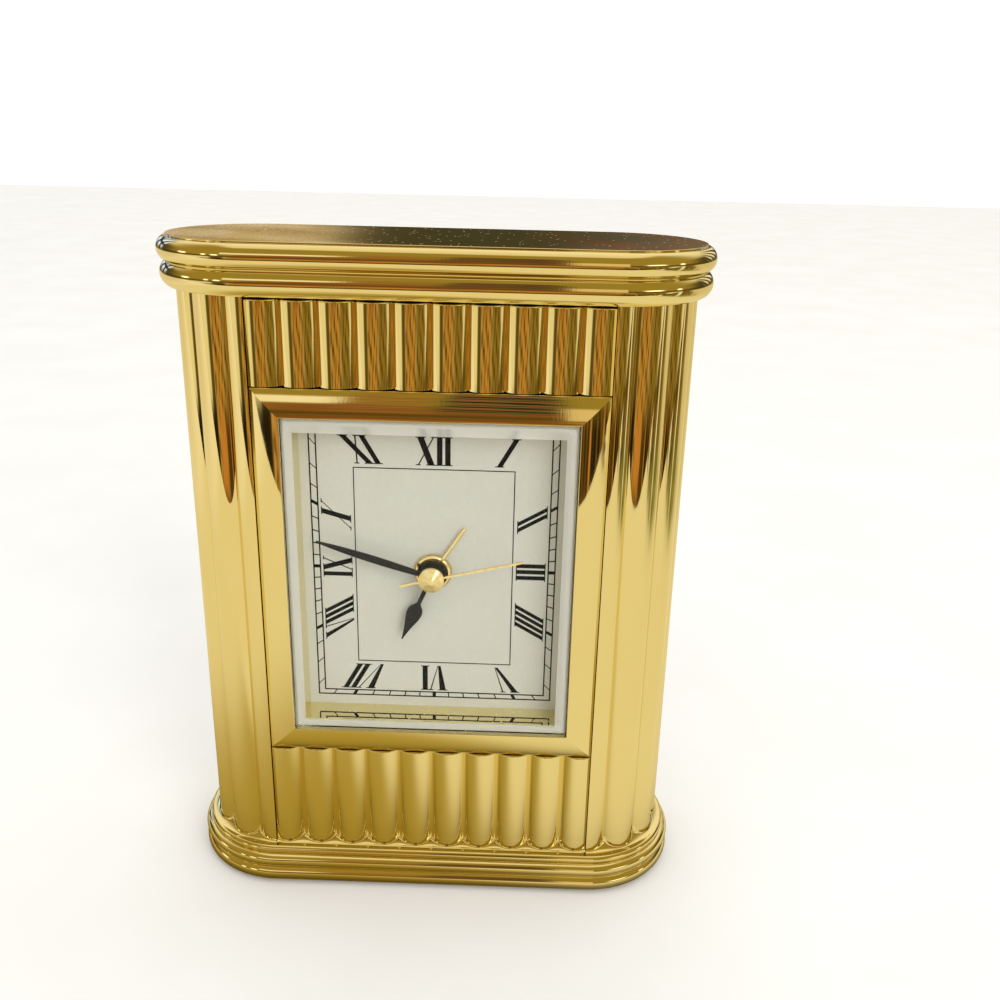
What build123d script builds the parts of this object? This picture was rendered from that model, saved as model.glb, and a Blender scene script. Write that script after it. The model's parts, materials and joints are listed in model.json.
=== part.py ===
from build123d import *
import os
from math import atan2, cos, degrees, pi, radians, sin, sqrt

# Frame: millimetres, +Z up, dial faces -Y, origin under the middle of the base.

# Case outside
reed_crest_r = 16.5         # rounded ends, to the reed crests
reed_depth = 1.5
column_pitches = 6          # reed pitches round one end
panel_pitch = 6.89          # reed pitch across the front panels
panel_skin = 1.4            # metal under the valleys of the panels
lower_panel_height = 23.5
bezel_height = 77.3
upper_panel_height = 16.5
cap_height = 9.8
cap_overhang = 2.8          # overhangs are measured from the reed crests
cap_lower_overhang = 2.5
cap_groove_overhang = 1.2
cap_foot_overhang = 0.2
cap_rim_step = 0.3
base_height = 8.2
base_overhang = 3.0
base_neck_overhang = 1.9
base_ledge_overhang = 1.2
cove_overhang = 0.9
cove_height = 2.9
seam_gap = 0.2

# Case inside
felt_stand = 0.6            # felt below the base's rim
felt_thick = 1.2
base_plate_thick = 2.0
base_rim = 1.3              # rim between the plate and the base's neck
base_web = 2.0
base_hollow_wall = 3.0
column_wall = 3.0
column_web = 1.6
cap_wall = 2.2
cap_rim = 4.0               # underside left round the cap's hollow
chassis_wall = 1.6
side_gap = 0.3              # between the movement's tabs and the chassis
back_gap = 1.5              # between the movement and the back cover

# Tie rods and their bosses
rod_r = 1.5
rod_offset = 6.0            # rod axis beyond the end's axis
rod_head_r = 2.9
rod_bite = 5.0              # thread length in the cap
boss_wall = 2.0
thread_gap = 0.05

# Front insert
bezel_rim = 1.4             # bezel edge above its seat
bezel_rise = 2.2            # land above the rim
bezel_bevel = 4.1
bezel_land = 1.2
ledge = 1.9                 # crystal seat inside the opening
tunnel_wall = 1.4
crystal_lift = 1.6          # crystal's back in front of the bezel's seat
crystal_edge = 1.2
crystal_rise = 1.1
crystal_bevel = 2.2
crystal_gap = 0.15
insert_gap = 0.25
dial_thick = 0.5
dial_side_inset = 0.3       # dial inside its frame's edges
dial_end_inset = 3.2
frame_end = 7.0
stud_r = 1.2
stud_offset = 20.0
stud_tail = 1.4
clip_r = 3.0
clip_thick = 0.5
bezel_screw_r = 0.9
bezel_screw_head_r = 1.5
bezel_screw_head = 1.3
bezel_screw_inset = 2.6     # screw axis in from the bezel's upper and lower edges
bezel_screw_bite = 1.8
head_sink = 0.3

# Hands: the nested tubes, the gaps in front of the dial, the blades
second_arbor_r = 0.60
tube_wall = 0.54
bush_wall = 1.14
bush_stand = 0.5
run_gap = 0.06
alarm_gap = 0.8
hour_gap = 0.7
minute_gap = 0.8
second_gap = 0.8
crystal_clear = 0.25
hand_thick = 0.4
thin_hand_thick = 0.3
alarm_length = 11.7
hour_length = 15.7
minute_clear = 2.2          # minute hand's tip to the tunnel's side
second_length = 18.5
second_tail = 6.4
alarm_disc_r = 3.9
hour_boss_r = 2.9
minute_boss_r = 2.5
second_cap_r = 2.55
second_cap_brim = 0.35
second_cap_height = 1.3
hour_blade_half = 1.56
hour_neck_half = 0.43
minute_blade_half = 0.73
minute_neck_half = 0.5
alarm_root_half = 0.42
alarm_tip_half = 0.36
second_needle_half = 0.22
alarm_time = 33.0           # hand angles, clockwise from twelve
hour_time = 203.5
minute_time = 287.1
second_time = 76.5

# Battery and its bay
cell_r = 7.1
cell_length = 49.0
cell_nub_r = 2.6
cell_nub = 1.0
cell_room = 0.8             # above and below the cell
cell_front = 0.4            # between the cell and the bay's front wall
cell_cover = 0.4            # between the cell and the housing's back
contact_room = 2.5          # at each end of the cell
contact_thick = 0.4
contact_half = 4.0
bay_top = 17.2              # bay starts this far below the hand axis

# Movement housing
housing_wall = 1.0
top_room = 3.8              # above the highest wheel
plate_thick = 1.0
plate_lead = 0.7            # between the hands' wheels and the middle plate
plate_gap = 0.15
plate_rebate = 0.5          # plate edge let into the housing's rim
post_r = 1.5
post_inset = 3.0
tab_half = 4.0
tab_thick = 1.4
tab_edge = 0.9
tab_high = 12.0             # tabs above and below the hand axis
tab_low = -22.0
mount_screw_r = 0.9
mount_screw_head_r = 1.6
mount_screw_head = 1.1
mount_screw_bite = 2.2
mount_gap = 0.2

# Gear train: tooth counts, shaft distances, directions from the hand axis
rotor_teeth = 8
fifth_teeth = 48
fifth_pinion_teeth = 10
second_teeth = 50
second_pinion_teeth = 8
third_teeth = 64
third_pinion_teeth = 8
centre_teeth = 60
cannon_teeth = 12
motion_teeth = 36
motion_pinion_teeth = 10
hour_teeth = 40
alarm_teeth = 48
alarm_pinion_teeth = 12
rotor_distance = 7.0
fifth_distance = 9.0
third_distance = 9.0
motion_room = 0.47          # setting arbors clear of the centre wheel
alarm_room = 1.47
rotor_bearing = 200.0
fifth_bearing = 215.0
third_bearing = 90.0
motion_bearing = 0.0
alarm_bearing = 150.0
tooth_root_share = 0.25
tooth_tip_share = 0.075
addendum_share = 0.72
dedendum_share = 1.10
wheel_thick = 0.8
layer_gap = 0.3
train_start = 0.2           # first wheel behind the front wall
thin_arbor_r = 0.4
set_arbor_r = 0.9
pivot_sink = 0.5

# Motor
magnet_r = 1.8
magnet_thick = 2.0
magnet_lead = 0.3
stator_thick = 1.0
stator_gap = 0.5
stator_high = 13.0
stator_leg = 3.0
stator_bar = 3.5
stator_lip = 1.15           # iron below the rotor hole
stator_bridge = 1.45        # iron between the rotor hole and the window
stator_room = 0.4           # clear of the alarm arbor
stator_post_r = 1.0
coil_gap = 0.15
coil_wall = 0.6
coil_build = 1.5
coil_side_room = 0.25
coil_window_room = 2.65
coil_end_room = 0.8

# Circuit, buzzer and switch
board_thick = 1.0
board_arbor_room = 2.1      # board clear of the time setting arbor
board_side_room = 0.7
board_least = 13.0          # narrowest board that carries its parts
board_low_room = 1.2
board_high_room = 2.0
board_post_r = 1.2
board_post_inset = 2.0
can_r = 1.5
can_length = 6.0
can_inset = 3.5             # places on the board, from its left edge
can_rise = 7.0
chip_r = 3.0
chip_thick = 1.2
chip_inset = 8.0
chip_rise = 1.0
buzzer_r = 5.0
buzzer_thick = 2.0
buzzer_room = 0.3
buzzer_inset = 7.0
buzzer_rise = -7.5
sound_hole_r = 0.7
sound_ring_r = 3.0
sound_holes = 6
switch_drop = 6.0           # below the housing's inner top
switch_travel = 4.0
switch_stem = 3.0
switch_shoe = 6.0
switch_shoe_thick = 1.0
switch_tab = 5.0
switch_tab_high = 4.0
switch_tab_stand = 2.0
switch_gap = 0.2
switch_post_gap = 0.3

# Back cover, knobs, door
cover_thick = 1.6
cover_hole_gap = 0.7
cover_screw_r = 1.2
cover_screw_head_r = 2.3
cover_screw_bite = 4.0
cover_screw_side = 2.1      # screw boss in from the chassis wall
cover_screw_z = 7.0
cover_boss_wall = 1.6
knob_r = 5.0
knob_stand = 0.4
knob_thick = 4.2
knob_flutes = 20
knob_flute_r = 0.45
knob_cover_share = 0.8
door_side = 0.5             # door opening beyond the cell's ends
door_inset = 0.4            # door opening inside the bay's walls
door_ledge = 1.4
door_gap = 0.2
door_skin_share = 0.5
door_grip_half = 5.0
door_grip_r = 1.2
cut_over = 1.0              # how far every cut runs past the face

# Outside that follows from the reeds
valley_r = reed_crest_r - reed_depth
cap_r = reed_crest_r + cap_overhang
cap_lower_r = reed_crest_r + cap_lower_overhang
cap_groove_r = reed_crest_r + cap_groove_overhang
cap_foot_r = reed_crest_r + cap_foot_overhang
base_r = reed_crest_r + base_overhang
base_neck_r = reed_crest_r + base_neck_overhang
base_ledge_r = reed_crest_r + base_ledge_overhang
base_recess_r = base_neck_r - base_rim
cove_r = reed_crest_r + cove_overhang

# Heights
base_z = felt_stand
body_z = base_z + base_height
bezel_bottom = body_z + lower_panel_height
bezel_top = bezel_bottom + bezel_height
cap_z = bezel_top + upper_panel_height
top_z = cap_z + cap_height
body_height = cap_z - body_z
hand_z = (bezel_top + bezel_bottom) / 2
lower_band = (body_z, bezel_bottom)
upper_band = (bezel_top, cap_z)
panel_bands = (lower_band, upper_band)


# Places of the shafts

def polar(radius, angle):
    return (radius * cos(radians(angle)), radius * sin(radians(angle)))


def shaft(distance, bearing, start=(0, 0)):
    step = polar(distance, bearing)
    return (start[0] + step[0], start[1] + step[1])


def module_for(distance, teeth, mate_teeth):
    return 2 * distance / (teeth + mate_teeth)


def tip_radius(teeth, module):
    return module * (teeth / 2 + addendum_share)


third_tip_r = tip_radius(third_teeth, module_for(third_distance, third_teeth, second_pinion_teeth))
centre_tip_r = tip_radius(centre_teeth, module_for(third_distance, centre_teeth, third_pinion_teeth))
motion_distance = centre_tip_r + set_arbor_r + motion_room
alarm_distance = centre_tip_r + set_arbor_r + alarm_room
centre_place = (0, 0)
fifth_place = shaft(fifth_distance, fifth_bearing)
rotor_place = shaft(rotor_distance, rotor_bearing, fifth_place)
third_place = shaft(third_distance, third_bearing)
motion_place = shaft(motion_distance, motion_bearing)
alarm_place = shaft(alarm_distance, alarm_bearing)

# Width, from the wider of the cell and the circuit board outwards
board_left = motion_place[0] + set_arbor_r + board_arbor_room
cell_need = cell_length / 2 + contact_room
board_need = board_left + board_least + board_side_room
inner_half = max(cell_need, board_need)
housing_half = inner_half + housing_wall
mount_x = housing_half + mount_screw_head_r + mount_gap
tab_end = mount_x + mount_screw_r + tab_edge
chassis_inner = tab_end + side_gap
straight_half = chassis_inner + chassis_wall
rod_x = straight_half + rod_offset

# Front insert, from the bezel inwards
panel_half = straight_half - seam_gap
bezel_half_w = panel_half
bezel_half_h = bezel_height / 2 - seam_gap
bezel_member = bezel_bevel + bezel_land
opening_half_w = bezel_half_w - bezel_member
opening_half_h = bezel_half_h - bezel_member
tunnel_half_w = opening_half_w - ledge
tunnel_half_h = opening_half_h - ledge
sleeve_half_w = tunnel_half_w + tunnel_wall
sleeve_half_h = tunnel_half_h + tunnel_wall
hole_half_w = sleeve_half_w + insert_gap
hole_half_h = sleeve_half_h + insert_gap
frame_half_w = chassis_inner - seam_gap
frame_half_h = hole_half_h + frame_end
screw_half_w = (hole_half_w + frame_half_w) / 2
screw_half_h = bezel_half_h - bezel_screw_inset
dial_half_w = frame_half_w - dial_side_inset
dial_half_h = frame_half_h - dial_end_inset
minute_length = tunnel_half_w - minute_clear

# Hand stack
minute_tube_r = second_arbor_r + run_gap + tube_wall
hour_tube_r = minute_tube_r + run_gap + tube_wall
alarm_tube_r = hour_tube_r + run_gap + tube_wall
bush_r = alarm_tube_r + run_gap + bush_wall
alarm_hand_lift = alarm_gap
hour_hand_lift = alarm_hand_lift + thin_hand_thick + hour_gap
minute_hand_lift = hour_hand_lift + hand_thick + minute_gap
second_hand_lift = minute_hand_lift + hand_thick + second_gap
hand_room = second_hand_lift + thin_hand_thick + second_cap_brim + second_cap_height + crystal_clear

# Depths, from the front backwards
front_seat = valley_r - panel_skin
front_inner = front_seat - chassis_wall
bezel_face = front_seat + bezel_rim
crystal_seat = front_seat + crystal_lift
dial_face = crystal_seat - hand_room
housing_front = -dial_face + dial_thick
housing_depth = housing_wall + cell_front + cell_r * 2 + cell_cover
housing_back = housing_front + housing_depth
front_inside = housing_front + housing_wall
back_inside = housing_back - housing_wall
cell_y = housing_back - cell_cover - cell_r
back_seat = housing_back + back_gap
cover_back = back_seat + cover_thick


# Plain solids

def slab(sketch, front, back):
    # sketch seen from the front: x to the right, z up, between two depths along y
    plane = Plane(origin=(0, back, 0), x_dir=(1, 0, 0), z_dir=(0, -1, 0))
    return extrude(plane * sketch, amount=back - front, dir=(0, -1, 0))


def block(left, right, front, back, low, high):
    middle = Pos((left + right) / 2, (front + back) / 2, (low + high) / 2)
    return middle * Box(right - left, back - front, high - low)


def disc(x, z, radius, front, back):
    return slab(Pos(x, z) * Circle(radius), front, back)


def ring(x, z, radius, bore, front, back):
    return slab(Pos(x, z) * (Circle(radius) - Circle(bore)), front, back)


def window(half_w, half_h, front, back):
    return slab(Pos(0, hand_z) * Rectangle(half_w * 2, half_h * 2), front, back)


def stadium(radius, low, high):
    outline = SlotCenterToCenter(straight_half * 2, radius * 2)
    return Pos(0, 0, low) * extrude(outline, amount=high - low)


def moulded(half_section):
    # half section (radius, height) carried round a rounded end and along the straight sides
    turned = revolve(half_section, Axis.Z, 180)
    right = Pos(straight_half, 0, 0) * Rot(0, 0, -90) * turned
    left = Pos(-straight_half, 0, 0) * Rot(0, 0, 90) * turned
    front = extrude(Rot(0, 0, -90) * half_section, amount=straight_half, dir=(1, 0, 0), both=True)
    back = extrude(Rot(0, 0, 90) * half_section, amount=straight_half, dir=(1, 0, 0), both=True)
    return right + left + front + back


def section(edges):
    return Plane.XZ * make_face(Curve() + edges)


# Reeds: arcs of one radius that meet in valleys

column_step = 180 / column_pitches
half_step = radians(column_step / 2)
reed_in = (reed_crest_r**2 - valley_r**2) / (2 * (reed_crest_r - valley_r * cos(half_step)))
reed_r = reed_crest_r - reed_in
reed_turn = degrees(atan2(valley_r * sin(half_step), valley_r * cos(half_step) - reed_in))
panel_reed_r = ((panel_pitch / 2)**2 + reed_depth**2) / (2 * reed_depth)


def reed_point(crest_angle, turn):
    inner = polar(reed_in, crest_angle)
    outer = polar(reed_r, crest_angle + turn)
    return (straight_half + inner[0] + outer[0], inner[1] + outer[1])


def column_outline():
    edges = []
    for index in range(column_pitches + 1):
        crest = -90 + index * column_step
        first = 0 if index == 0 else -reed_turn
        last = 0 if index == column_pitches else reed_turn
        turns = (first, (first + last) / 2, last)
        edges.append(ThreePointArc(*[reed_point(crest, turn) for turn in turns]))
    edges.append(Line((straight_half, reed_crest_r), (straight_half, -reed_crest_r)))
    return make_face(Curve() + edges)


def column():
    shell = Pos(0, 0, body_z) * extrude(column_outline(), amount=body_height)
    foot = body_z + cove_height
    waist = (valley_r + (cove_r - valley_r) * (1 - cos(pi / 4)), body_z + cove_height * (1 - sin(pi / 4)))
    inside = valley_r - column_wall
    cove_edges = [
        Line((inside, body_z), (cove_r, body_z)),
        ThreePointArc((cove_r, body_z), waist, (valley_r, foot)),
        Line((valley_r, foot), (inside, foot)),
        Line((inside, foot), (inside, body_z)),
    ]
    cove = revolve(section(cove_edges), Axis.Z, 180)
    shell += Pos(straight_half, 0, 0) * Rot(0, 0, -90) * cove
    hollow = Pos(straight_half, 0, body_z - cut_over) * Cylinder(
        inside, body_height + cut_over * 2, align=(Align.CENTER, Align.CENTER, Align.MIN))
    keep_left = straight_half + column_web
    hollow &= block(keep_left, keep_left + reed_crest_r * 2, -reed_crest_r, reed_crest_r,
                    body_z - cut_over, cap_z + cut_over)
    return shell - hollow


def front_panel(band):
    # plan outline: straight back, one arc for each reed, the outer reeds cut by the seams
    def face_at(x, middle):
        return -(front_seat + panel_skin + sqrt(panel_reed_r**2 - (x - middle)**2) - reed_floor)

    reed_floor = panel_reed_r - reed_depth
    reeds = int(panel_half // panel_pitch) + 1
    edges = []
    for index in range(-reeds, reeds):
        middle = (index + 0.5) * panel_pitch
        start = max(index * panel_pitch, -panel_half)
        end = min((index + 1) * panel_pitch, panel_half)
        xs = (start, (start + end) / 2, end)
        edges.append(ThreePointArc(*[(x, face_at(x, middle)) for x in xs]))
    first = edges[0] @ 0
    last = edges[-1] @ 1
    edges.append(Polyline((last.X, last.Y), (panel_half, -front_seat), (-panel_half, -front_seat),
                          (first.X, first.Y)))
    low = band[0] + seam_gap
    high = band[1] - seam_gap
    skin = Pos(0, 0, low) * extrude(make_face(Curve() + edges), amount=high - low)
    for side in (-1, 1):
        skin += disc(side * stud_offset, (low + high) / 2, stud_r, -front_seat, -front_inner + stud_tail)
    return skin


# Case pieces

def rod_places():
    return [(-rod_x, 0), (rod_x, 0)]


def top_cap():
    groove = (cap_groove_r, cap_z + cap_height / 2)
    rim = (cap_groove_r, top_z - cap_rim_step)
    edges = [
        Line((0, cap_z), (cap_foot_r, cap_z)),
        ThreePointArc((cap_foot_r, cap_z), (cap_lower_r, (cap_z + groove[1]) / 2), groove),
        ThreePointArc(groove, (cap_r, (groove[1] + rim[1]) / 2), rim),
        Line(rim, (cap_groove_r - cap_rim_step, rim[1])),
        Line((cap_groove_r - cap_rim_step, rim[1]), (cap_groove_r - cap_rim_step * 2, top_z)),
        Line((cap_groove_r - cap_rim_step * 2, top_z), (0, top_z)),
        Line((0, top_z), (0, cap_z)),
    ]
    cap = moulded(section(edges))
    cap -= stadium(cap_foot_r - cap_rim, cap_z - cut_over, top_z - cap_wall)
    for x, y in rod_places():
        cap += Pos(x, y, cap_z) * extrude(Circle(rod_r + boss_wall), amount=cap_height - cap_wall)
        thread = extrude(Circle(rod_r + thread_gap), amount=rod_bite + cut_over * 2)
        cap -= Pos(x, y, cap_z - cut_over) * thread
    return cap


def base_plinth():
    bead_share = 0.42
    neck_share = 0.79
    lower_groove = (base_neck_r, base_z + base_height * bead_share)
    upper_groove = (base_neck_r, base_z + base_height * neck_share)
    edges = [
        Line((0, base_z), (base_neck_r, base_z)),
        ThreePointArc((base_neck_r, base_z), (base_r, (base_z + lower_groove[1]) / 2), lower_groove),
        ThreePointArc(lower_groove, (base_r, (lower_groove[1] + upper_groove[1]) / 2), upper_groove),
        ThreePointArc(upper_groove, (base_neck_r, (upper_groove[1] + body_z) / 2), (base_ledge_r, body_z)),
        Line((base_ledge_r, body_z), (0, body_z)),
        Line((0, body_z), (0, base_z)),
    ]
    plinth = moulded(section(edges))
    plinth -= stadium(base_recess_r, base_z - cut_over, felt_thick + base_plate_thick)
    plinth -= stadium(base_recess_r - base_hollow_wall, base_z, body_z - base_web)
    for x, y in rod_places():
        post = felt_thick + base_plate_thick
        plinth += Pos(x, y, post) * extrude(Circle(rod_r + boss_wall), amount=body_z - post)
        plinth -= Pos(x, y, base_z) * extrude(Circle(rod_r + thread_gap), amount=base_height + cut_over)
    return plinth


def countersink(x, y, low):
    # cone under a flat head, from head radius to shank radius, flush with the plate's lower face
    sink = rod_head_r - rod_r
    return Pos(x, y, low + sink / 2) * Cone(rod_head_r, rod_r, sink)


def base_plate():
    low = felt_thick
    plate = stadium(base_recess_r - seam_gap, low, low + base_plate_thick)
    for x, y in rod_places():
        plate -= countersink(x, y, low)
        plate -= Pos(x, y, low) * extrude(Circle(rod_r), amount=base_plate_thick + cut_over)
    return plate


def tie_rods():
    rods = []
    for x, y in rod_places():
        shank = Pos(x, y, felt_thick) * extrude(Circle(rod_r), amount=cap_z + rod_bite - felt_thick)
        rods.append(shank + countersink(x, y, felt_thick))
    return rods


def chassis():
    shell = block(-straight_half, straight_half, -front_seat, back_seat, body_z, cap_z)
    shell -= block(-chassis_inner, chassis_inner, -front_inner, back_seat - chassis_wall,
                   body_z + chassis_wall, cap_z - chassis_wall)
    shell -= window(hole_half_w, hole_half_h, -front_seat - cut_over, 0)
    shell -= block(-frame_half_w, frame_half_w, 0, back_seat + cut_over,
                   hand_z - max(frame_half_h, housing_bottom) - insert_gap,
                   hand_z + max(frame_half_h, housing_top) + insert_gap)
    for side in (-1, 1):
        for low, high in panel_bands:
            shell -= disc(side * stud_offset, (low + high) / 2, stud_r, -front_seat - cut_over, 0)
        for up in (-1, 1):
            shell -= disc(side * screw_half_w, hand_z + up * screw_half_h, bezel_screw_r,
                          -front_seat - cut_over, 0)
    for x, z in cover_screw_places():
        post_back = back_seat - chassis_wall
        shell += disc(x, z, cover_screw_r + cover_boss_wall, post_back - cover_screw_bite, post_back)
        shell -= disc(x, z, cover_screw_r, post_back - cover_screw_bite, back_seat + cut_over)
    return shell


def panel_clips():
    clips = []
    for low, high in panel_bands:
        for side in (-1, 1):
            clips.append(ring(side * stud_offset, (low + high) / 2, clip_r, stud_r,
                              -front_inner, -front_inner + clip_thick))
    return clips


# Front insert

def bevelled_plate(half_w, half_h, inset, back, edge_front, face_front):
    # upright edge, then four mitred faces drawn in by the inset
    plate = window(half_w, half_h, edge_front, back)
    outer = Plane(origin=(0, edge_front, 0), x_dir=(1, 0, 0), z_dir=(0, -1, 0)) * Pos(0, hand_z)
    inner = Plane(origin=(0, face_front, 0), x_dir=(1, 0, 0), z_dir=(0, -1, 0)) * Pos(0, hand_z)
    outer_face = outer * Rectangle(half_w * 2, half_h * 2)
    inner_face = inner * Rectangle((half_w - inset) * 2, (half_h - inset) * 2)
    return plate + loft([outer_face, inner_face])


def bezel():
    face = -(bezel_face + bezel_rise)
    frame = bevelled_plate(bezel_half_w, bezel_half_h, bezel_bevel, -front_seat, -bezel_face, face)
    frame += window(sleeve_half_w, sleeve_half_h, -front_seat, -dial_face)
    frame -= window(opening_half_w, opening_half_h, face - cut_over, -crystal_seat)
    frame -= window(tunnel_half_w, tunnel_half_h, face - cut_over, -dial_face + cut_over)
    for side in (-1, 1):
        for up in (-1, 1):
            frame -= disc(side * screw_half_w, hand_z + up * screw_half_h, bezel_screw_r,
                          -front_seat - bezel_screw_bite, -front_seat + cut_over)
    return frame


def crystal():
    half_w = opening_half_w - crystal_gap
    half_h = opening_half_h - crystal_gap
    edge = -crystal_seat - crystal_edge
    return bevelled_plate(half_w, half_h, crystal_bevel, -crystal_seat, edge, edge - crystal_rise)


def mount_places():
    return [(side * mount_x, hand_z + z) for side in (-1, 1) for z in (tab_high, tab_low)]


def dial():
    plate = window(dial_half_w, dial_half_h, -dial_face, housing_front)
    plate -= disc(0, hand_z, bush_r + run_gap, -dial_face - cut_over, housing_front + cut_over)
    for x, z in mount_places():
        plate -= disc(x, z, mount_screw_r, -dial_face - cut_over, housing_front + cut_over)
    return plate


def dial_frame():
    frame = window(frame_half_w, frame_half_h, -front_inner, -dial_face)
    frame -= window(hole_half_w, hole_half_h, -front_inner - cut_over, -dial_face + cut_over)
    for side in (-1, 1):
        for up in (-1, 1):
            x = side * screw_half_w
            z = hand_z + up * screw_half_h
            frame -= disc(x, z, bezel_screw_r, -front_inner - cut_over, -dial_face)
            sink = -dial_face - head_sink - bezel_screw_head
            frame -= disc(x, z, bezel_screw_head_r + thread_gap, sink, -dial_face + cut_over)
    for x, z in mount_places():
        frame -= disc(x, z, mount_screw_r, -dial_face - mount_screw_bite, -dial_face + cut_over)
    return frame


def bezel_screws():
    screws = []
    head = -dial_face - head_sink - bezel_screw_head
    for side in (-1, 1):
        for up in (-1, 1):
            x = side * screw_half_w
            z = hand_z + up * screw_half_h
            screw = disc(x, z, bezel_screw_r, -front_seat - bezel_screw_bite, head)
            screws.append(screw + disc(x, z, bezel_screw_head_r, head, head + bezel_screw_head))
    return screws


def movement_screws():
    screws = []
    head = housing_front + tab_thick
    for x, z in mount_places():
        screw = disc(x, z, mount_screw_r, -dial_face - mount_screw_bite, head)
        screws.append(screw + disc(x, z, mount_screw_head_r, head, head + mount_screw_head))
    return screws


# Gear train: layers of the wheels

# Housing height, from the highest wheel down to the cell
housing_top = third_distance + third_tip_r + top_room + housing_wall
inner_top = housing_top - housing_wall
cell_drop = bay_top + housing_wall + cell_room + cell_r
housing_bottom = cell_drop + cell_r + cell_room + housing_wall
inner_bottom = housing_bottom - housing_wall

# Layers of the wheels, front to back
layer = wheel_thick + layer_gap
alarm_layer = front_inside + train_start
hour_layer = alarm_layer + layer
cannon_layer = hour_layer + layer
plate_front = cannon_layer + wheel_thick + plate_lead
parting = plate_front + plate_thick
centre_layer = parting + layer_gap
third_layer = centre_layer + layer
second_layer = third_layer + layer
fifth_layer = second_layer + layer
magnet_front = fifth_layer + wheel_thick + magnet_lead
pivot_back = back_inside + pivot_sink
pivot_front = parting - pivot_sink - run_gap


def gear(teeth, module, place, tooth_angle, front):
    # straight-sided teeth with room for backlash; one tooth points along tooth_angle
    pitch_r = module * teeth / 2
    tip_r = tip_radius(teeth, module)
    root_r = pitch_r - module * dedendum_share
    step = 360 / teeth
    corners = ((-tooth_root_share, root_r), (-tooth_tip_share, tip_r),
               (tooth_tip_share, tip_r), (tooth_root_share, root_r))
    points = []
    for index in range(teeth):
        for share, radius in corners:
            points.append(polar(radius, tooth_angle + (index + share) * step))
    outline = make_face(Polyline(*points, close=True))
    return slab(Pos(place[0], hand_z + place[1]) * outline, front, front + wheel_thick)


def gear_pair(teeth, mate_teeth, distance, bearing, place, mate_place, front):
    # a tooth of the first gear stands in a gap of its mate at rest
    module = module_for(distance, teeth, mate_teeth)
    first = gear(teeth, module, place, bearing, front)
    mate = gear(mate_teeth, module, mate_place, bearing + 180 + 180 / mate_teeth, front)
    return first, mate


def arbor(place, radius, front, back):
    return disc(place[0], hand_z + place[1], radius, front, back)


fifth_gear, rotor_pinion = gear_pair(
    fifth_teeth, rotor_teeth, rotor_distance, rotor_bearing, fifth_place, rotor_place, fifth_layer)
second_gear, fifth_pinion = gear_pair(
    second_teeth, fifth_pinion_teeth, fifth_distance, fifth_bearing, centre_place, fifth_place, second_layer)
second_pinion, third_gear = gear_pair(
    second_pinion_teeth, third_teeth, third_distance, third_bearing, centre_place, third_place, third_layer)
centre_gear, third_pinion = gear_pair(
    centre_teeth, third_pinion_teeth, third_distance, third_bearing, centre_place, third_place, centre_layer)
cannon_gear, motion_gear = gear_pair(
    cannon_teeth, motion_teeth, motion_distance, motion_bearing, centre_place, motion_place, cannon_layer)
hour_gear, motion_pinion = gear_pair(
    hour_teeth, motion_pinion_teeth, motion_distance, motion_bearing, centre_place, motion_place, hour_layer)
alarm_gear, alarm_pinion = gear_pair(
    alarm_teeth, alarm_pinion_teeth, alarm_distance, alarm_bearing, centre_place, alarm_place, alarm_layer)


def hand_back(lift):
    return -dial_face - lift


def second_wheel():
    front = hand_back(second_hand_lift) - thin_hand_thick
    return second_gear + second_pinion + arbor(centre_place, second_arbor_r, front, pivot_back)


def third_wheel():
    return third_gear + third_pinion + arbor(third_place, thin_arbor_r, pivot_front, pivot_back)


def fifth_wheel():
    return fifth_gear + fifth_pinion + arbor(fifth_place, thin_arbor_r, pivot_front, pivot_back)


def rotor():
    return rotor_pinion + arbor(rotor_place, thin_arbor_r, pivot_front, pivot_back)


def rotor_magnet():
    return ring(rotor_place[0], hand_z + rotor_place[1], magnet_r, thin_arbor_r,
                magnet_front, magnet_front + magnet_thick)


def centre_wheel():
    return centre_gear - arbor(centre_place, minute_tube_r + run_gap, plate_front, third_layer)


def cannon_pinion():
    tube = arbor(centre_place, minute_tube_r, hand_back(minute_hand_lift) - hand_thick,
                 centre_layer + wheel_thick)
    bore = arbor(centre_place, second_arbor_r + run_gap, -crystal_seat, third_layer)
    return cannon_gear + tube - bore


def hour_wheel():
    tube = arbor(centre_place, hour_tube_r, hand_back(hour_hand_lift) - hand_thick, hour_layer)
    return hour_gear + tube - arbor(centre_place, minute_tube_r + run_gap, -crystal_seat, cannon_layer)


def alarm_wheel():
    tube = arbor(centre_place, alarm_tube_r, hand_back(alarm_hand_lift) - thin_hand_thick, alarm_layer)
    return alarm_gear + tube - arbor(centre_place, hour_tube_r + run_gap, -crystal_seat, hour_layer)


knob_front = cover_back + knob_stand
knob_back = knob_front + knob_thick
arbor_back = knob_front + knob_thick * knob_cover_share


def motion_wheel():
    front = front_inside - pivot_sink
    pivot = arbor(motion_place, thin_arbor_r, front, hour_layer)
    return motion_gear + motion_pinion + pivot + arbor(motion_place, set_arbor_r, hour_layer, arbor_back)


def alarm_arbor():
    pivot = arbor(alarm_place, thin_arbor_r, front_inside - pivot_sink, alarm_layer)
    return alarm_pinion + pivot + arbor(alarm_place, set_arbor_r, alarm_layer, arbor_back)


def knob(place):
    x = place[0]
    z = hand_z + place[1]
    body = disc(x, z, knob_r, knob_front, knob_back)
    body = chamfer(body.faces().sort_by(Axis.Y)[-1].edges(), knob_flute_r)
    for index in range(knob_flutes):
        flute = polar(knob_r, index * 360 / knob_flutes)
        body -= disc(x + flute[0], z + flute[1], knob_flute_r, knob_front - cut_over, knob_back + cut_over)
    return body - disc(x, z, set_arbor_r, knob_front - cut_over, arbor_back)


# Hands, drawn pointing at twelve and turned to their time

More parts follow.
